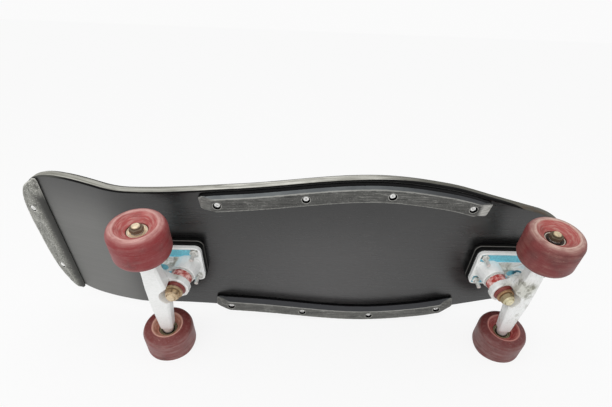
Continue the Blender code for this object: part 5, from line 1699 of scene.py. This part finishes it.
def set_camera():
    """The camera that was fitted to the wheels, bolts and deck edges."""
    lens = bpy.data.cameras.new("camera")
    lens.sensor_width = 36.0
    lens.lens = 24.322
    lens.shift_x = -0.0174
    lens.shift_y = 0.0149
    lens.clip_start = 0.01
    camera = show("camera", lens)
    turn = camera_turn(0.70494, 0.055272, -0.057173).to_4x4()
    camera.matrix_world = Matrix.Translation((-0.004875, -0.39039, -0.278984)) @ turn
    bpy.context.scene.camera = camera
    bpy.context.scene.view_settings.view_transform = "Standard"


# Looks of the trucks and wheels, by end: how far the stains are moved, and where grey smears lie
STAINS = {"tail": 0.0, "nose": 0.7}
BLUE_PAINT = (124, 206, 228)
BASE_SMEARS = {"tail": (TAIL_X + 0.008, -0.009, 0.074), "nose": (NOSE_X - 0.008, -0.006, 0.068)}
HANGER_SMEARS = {
    "tail": ((TAIL_X + 0.022, -0.012, 0.044), 0.009), "nose": ((NOSE_X - 0.012, -0.019, 0.026), 0.025),
}
# name, clean rubber, film and how much of it is left
BUSHINGS = {
    "top_bushing": ("board_bushing", (184, 62, 57), (255, 214, 206), 0.95),
    "low_bushing": ("road_bushing", (116, 36, 30), (150, 92, 82), 0.35),
}
# name, bright and dark tones at the tail and at the nose, roughness, dirt, metal and radius of the flats,
# beyond which the nut is darkened as painted shade
METALS = {
    "kingpin_nut": ("nut_plate", ((228, 208, 176), (190, 162, 128)), ((232, 224, 190), (150, 130, 96)),
                    0.4, 0.5, 0.45, 0.0068),
    "low_washer": ("washer", ((190, 166, 132), (104, 74, 50)), ((176, 138, 102), (104, 74, 50)),
                   0.38, 0.5, 0.6, None),
    "axle_nut": ("axle_nut", ((248, 228, 196), (62, 38, 24)), ((214, 196, 160), (46, 32, 20)),
                 0.45, 0.4, 0.2, 0.0043),
}
# tones as urethane_material takes them, then stain, dust on the tread, chalk and streaks in the dish
WHEELS = {
    ("tail", "right"): (
        ((134, 38, 41), (150, 92, 90), (212, 166, 158), (172, 80, 77), (116, 44, 42)),
        0.2, 0.6, 1.0, 0.55),
    ("nose", "right"): (
        ((116, 38, 40), (140, 92, 85), (218, 188, 174), (168, 78, 74), (104, 46, 40)),
        0.5, 0.75, 0.85, 0.35),
    ("tail", "left"): (
        ((124, 58, 56), (150, 114, 110), (228, 178, 160), (178, 118, 98), (114, 49, 46)),
        0.9, 0.9, 0.5, 0.4),
    ("nose", "left"): (
        ((112, 54, 52), (140, 110, 106), (196, 132, 122), (150, 54, 53), (100, 42, 40)),
        1.3, 0.9, 0.5, 0.3),
}


def truck_looks():
    """The materials of both trucks. What differs between them stands under the name of its end."""
    looks = {
        "riser": rubber_material(),
        "cup": bushing_material("blue_cup", (44, 116, 138), (120, 176, 190), 0.5, 0.7),
        "steel": metal_material("steel", (228, 226, 220), (110, 100, 84), 0.3, 0.5, 0.8, 0.2),
        "bright": metal_material("zinc_plate", (248, 248, 244), (158, 152, 138), 0.32, 0.45, 0.45, 0.4),
        # each race's last number is the radius beyond which its outer edge is darkened as painted shade
        "inner_race": metal_material(
            "inner_race", (170, 158, 122), (52, 42, 30), 0.4, 0.5, 0.4, 0.5, 0.0102),
        "inner_shield": shield_material("inner_shield", (74, 62, 42), (38, 30, 22), (206, 194, 156)),
        "tail": {
            "outer_race": metal_material(
                "tail_race", (246, 230, 202), (74, 50, 40), 0.35, 0.15, 0.4, 0.1, 0.0101),
            "outer_shield": shield_material(
                "cream_shield", (248, 230, 200), (232, 208, 172), (250, 236, 208)),
        },
        "nose": {
            "outer_race": metal_material(
                "nose_race", (222, 212, 196), (38, 26, 22), 0.35, 0.15, 0.4, 0.3, 0.0101),
            "outer_shield": shield_material("black_shield", (40, 32, 24), (30, 22, 16), (70, 58, 44)),
        },
    }
    for end, stain in STAINS.items():
        own = looks[end]
        own["baseplate"] = casting_material(
            end + "_base_casting", (stain, 0.0, 0.0), 0.1, BASE_SMEARS[end], 0.014, BLUE_PAINT)
        own["hanger"] = casting_material(
            end + "_hanger_casting", (0.0, stain, 0.3), 0.05 + stain * 0.8, *HANGER_SMEARS[end])
        for part, (name, clean, film, covered) in BUSHINGS.items():
            own[part] = bushing_material(end + "_" + name, clean, film, covered, stain)
        for part, (name, tail_tones, nose_tones, roughness, dirt, metallic, flats) in METALS.items():
            tones = tail_tones if end == "tail" else nose_tones
            own[part] = metal_material(end + "_" + name, *tones, roughness, dirt, metallic, stain, flats)
    for (end, side), (tones, stain, *worn) in WHEELS.items():
        name = end + "_" + side + "_urethane"
        lip = INNER_RIMS[end, side]
        looks[end][side + "_wheel"] = urethane_material(name, tones, (stain, 0.3, 0.1), *worn, lip)
    return looks


RAIL_GRAIN = (26.0, 620.0, 300.0)
FLANK_TONES = ((100, 104, 106), (124, 128, 129))

screw_steel = metal_material("bright_steel", (252, 252, 250), (150, 144, 132), 0.22, 0.25, 0.6)
screw = show("screw", cross_head(0.0036, 0.0022, 0.0018, 0.0056))
fresh = fresh_plastic_material()
make_deck(underside_material(), ply_edge_material())
make_grip(grip_material())
make_guard(worn_plastic_material(
    "guard_plastic", ((84, 84, 80), (150, 150, 143), (214, 214, 206)),
    ((100, 100, 96), (124, 124, 119), (62, 62, 60)), (300.0, 60.0, 200.0), 0.85,
), fresh, screw, screw_steel)
make_rail("left_rail", 1, 3, worn_plastic_material(
    "left_rail_plastic", ((60, 60, 58), (112, 112, 108), (180, 180, 174)),
    (*FLANK_TONES, (64, 65, 68)), RAIL_GRAIN, 0.2,
), fresh, screw, screw_steel)
make_rail("right_rail", -1, 4, worn_plastic_material(
    "right_rail_plastic", ((48, 48, 47), (92, 92, 89), (166, 166, 161)),
    (*FLANK_TONES, (40, 41, 44)), RAIL_GRAIN, 0.2,
), fresh, screw, screw_steel)
bpy.data.objects.remove(screw)
fit_trucks(truck_looks())
set_stage()
set_camera()
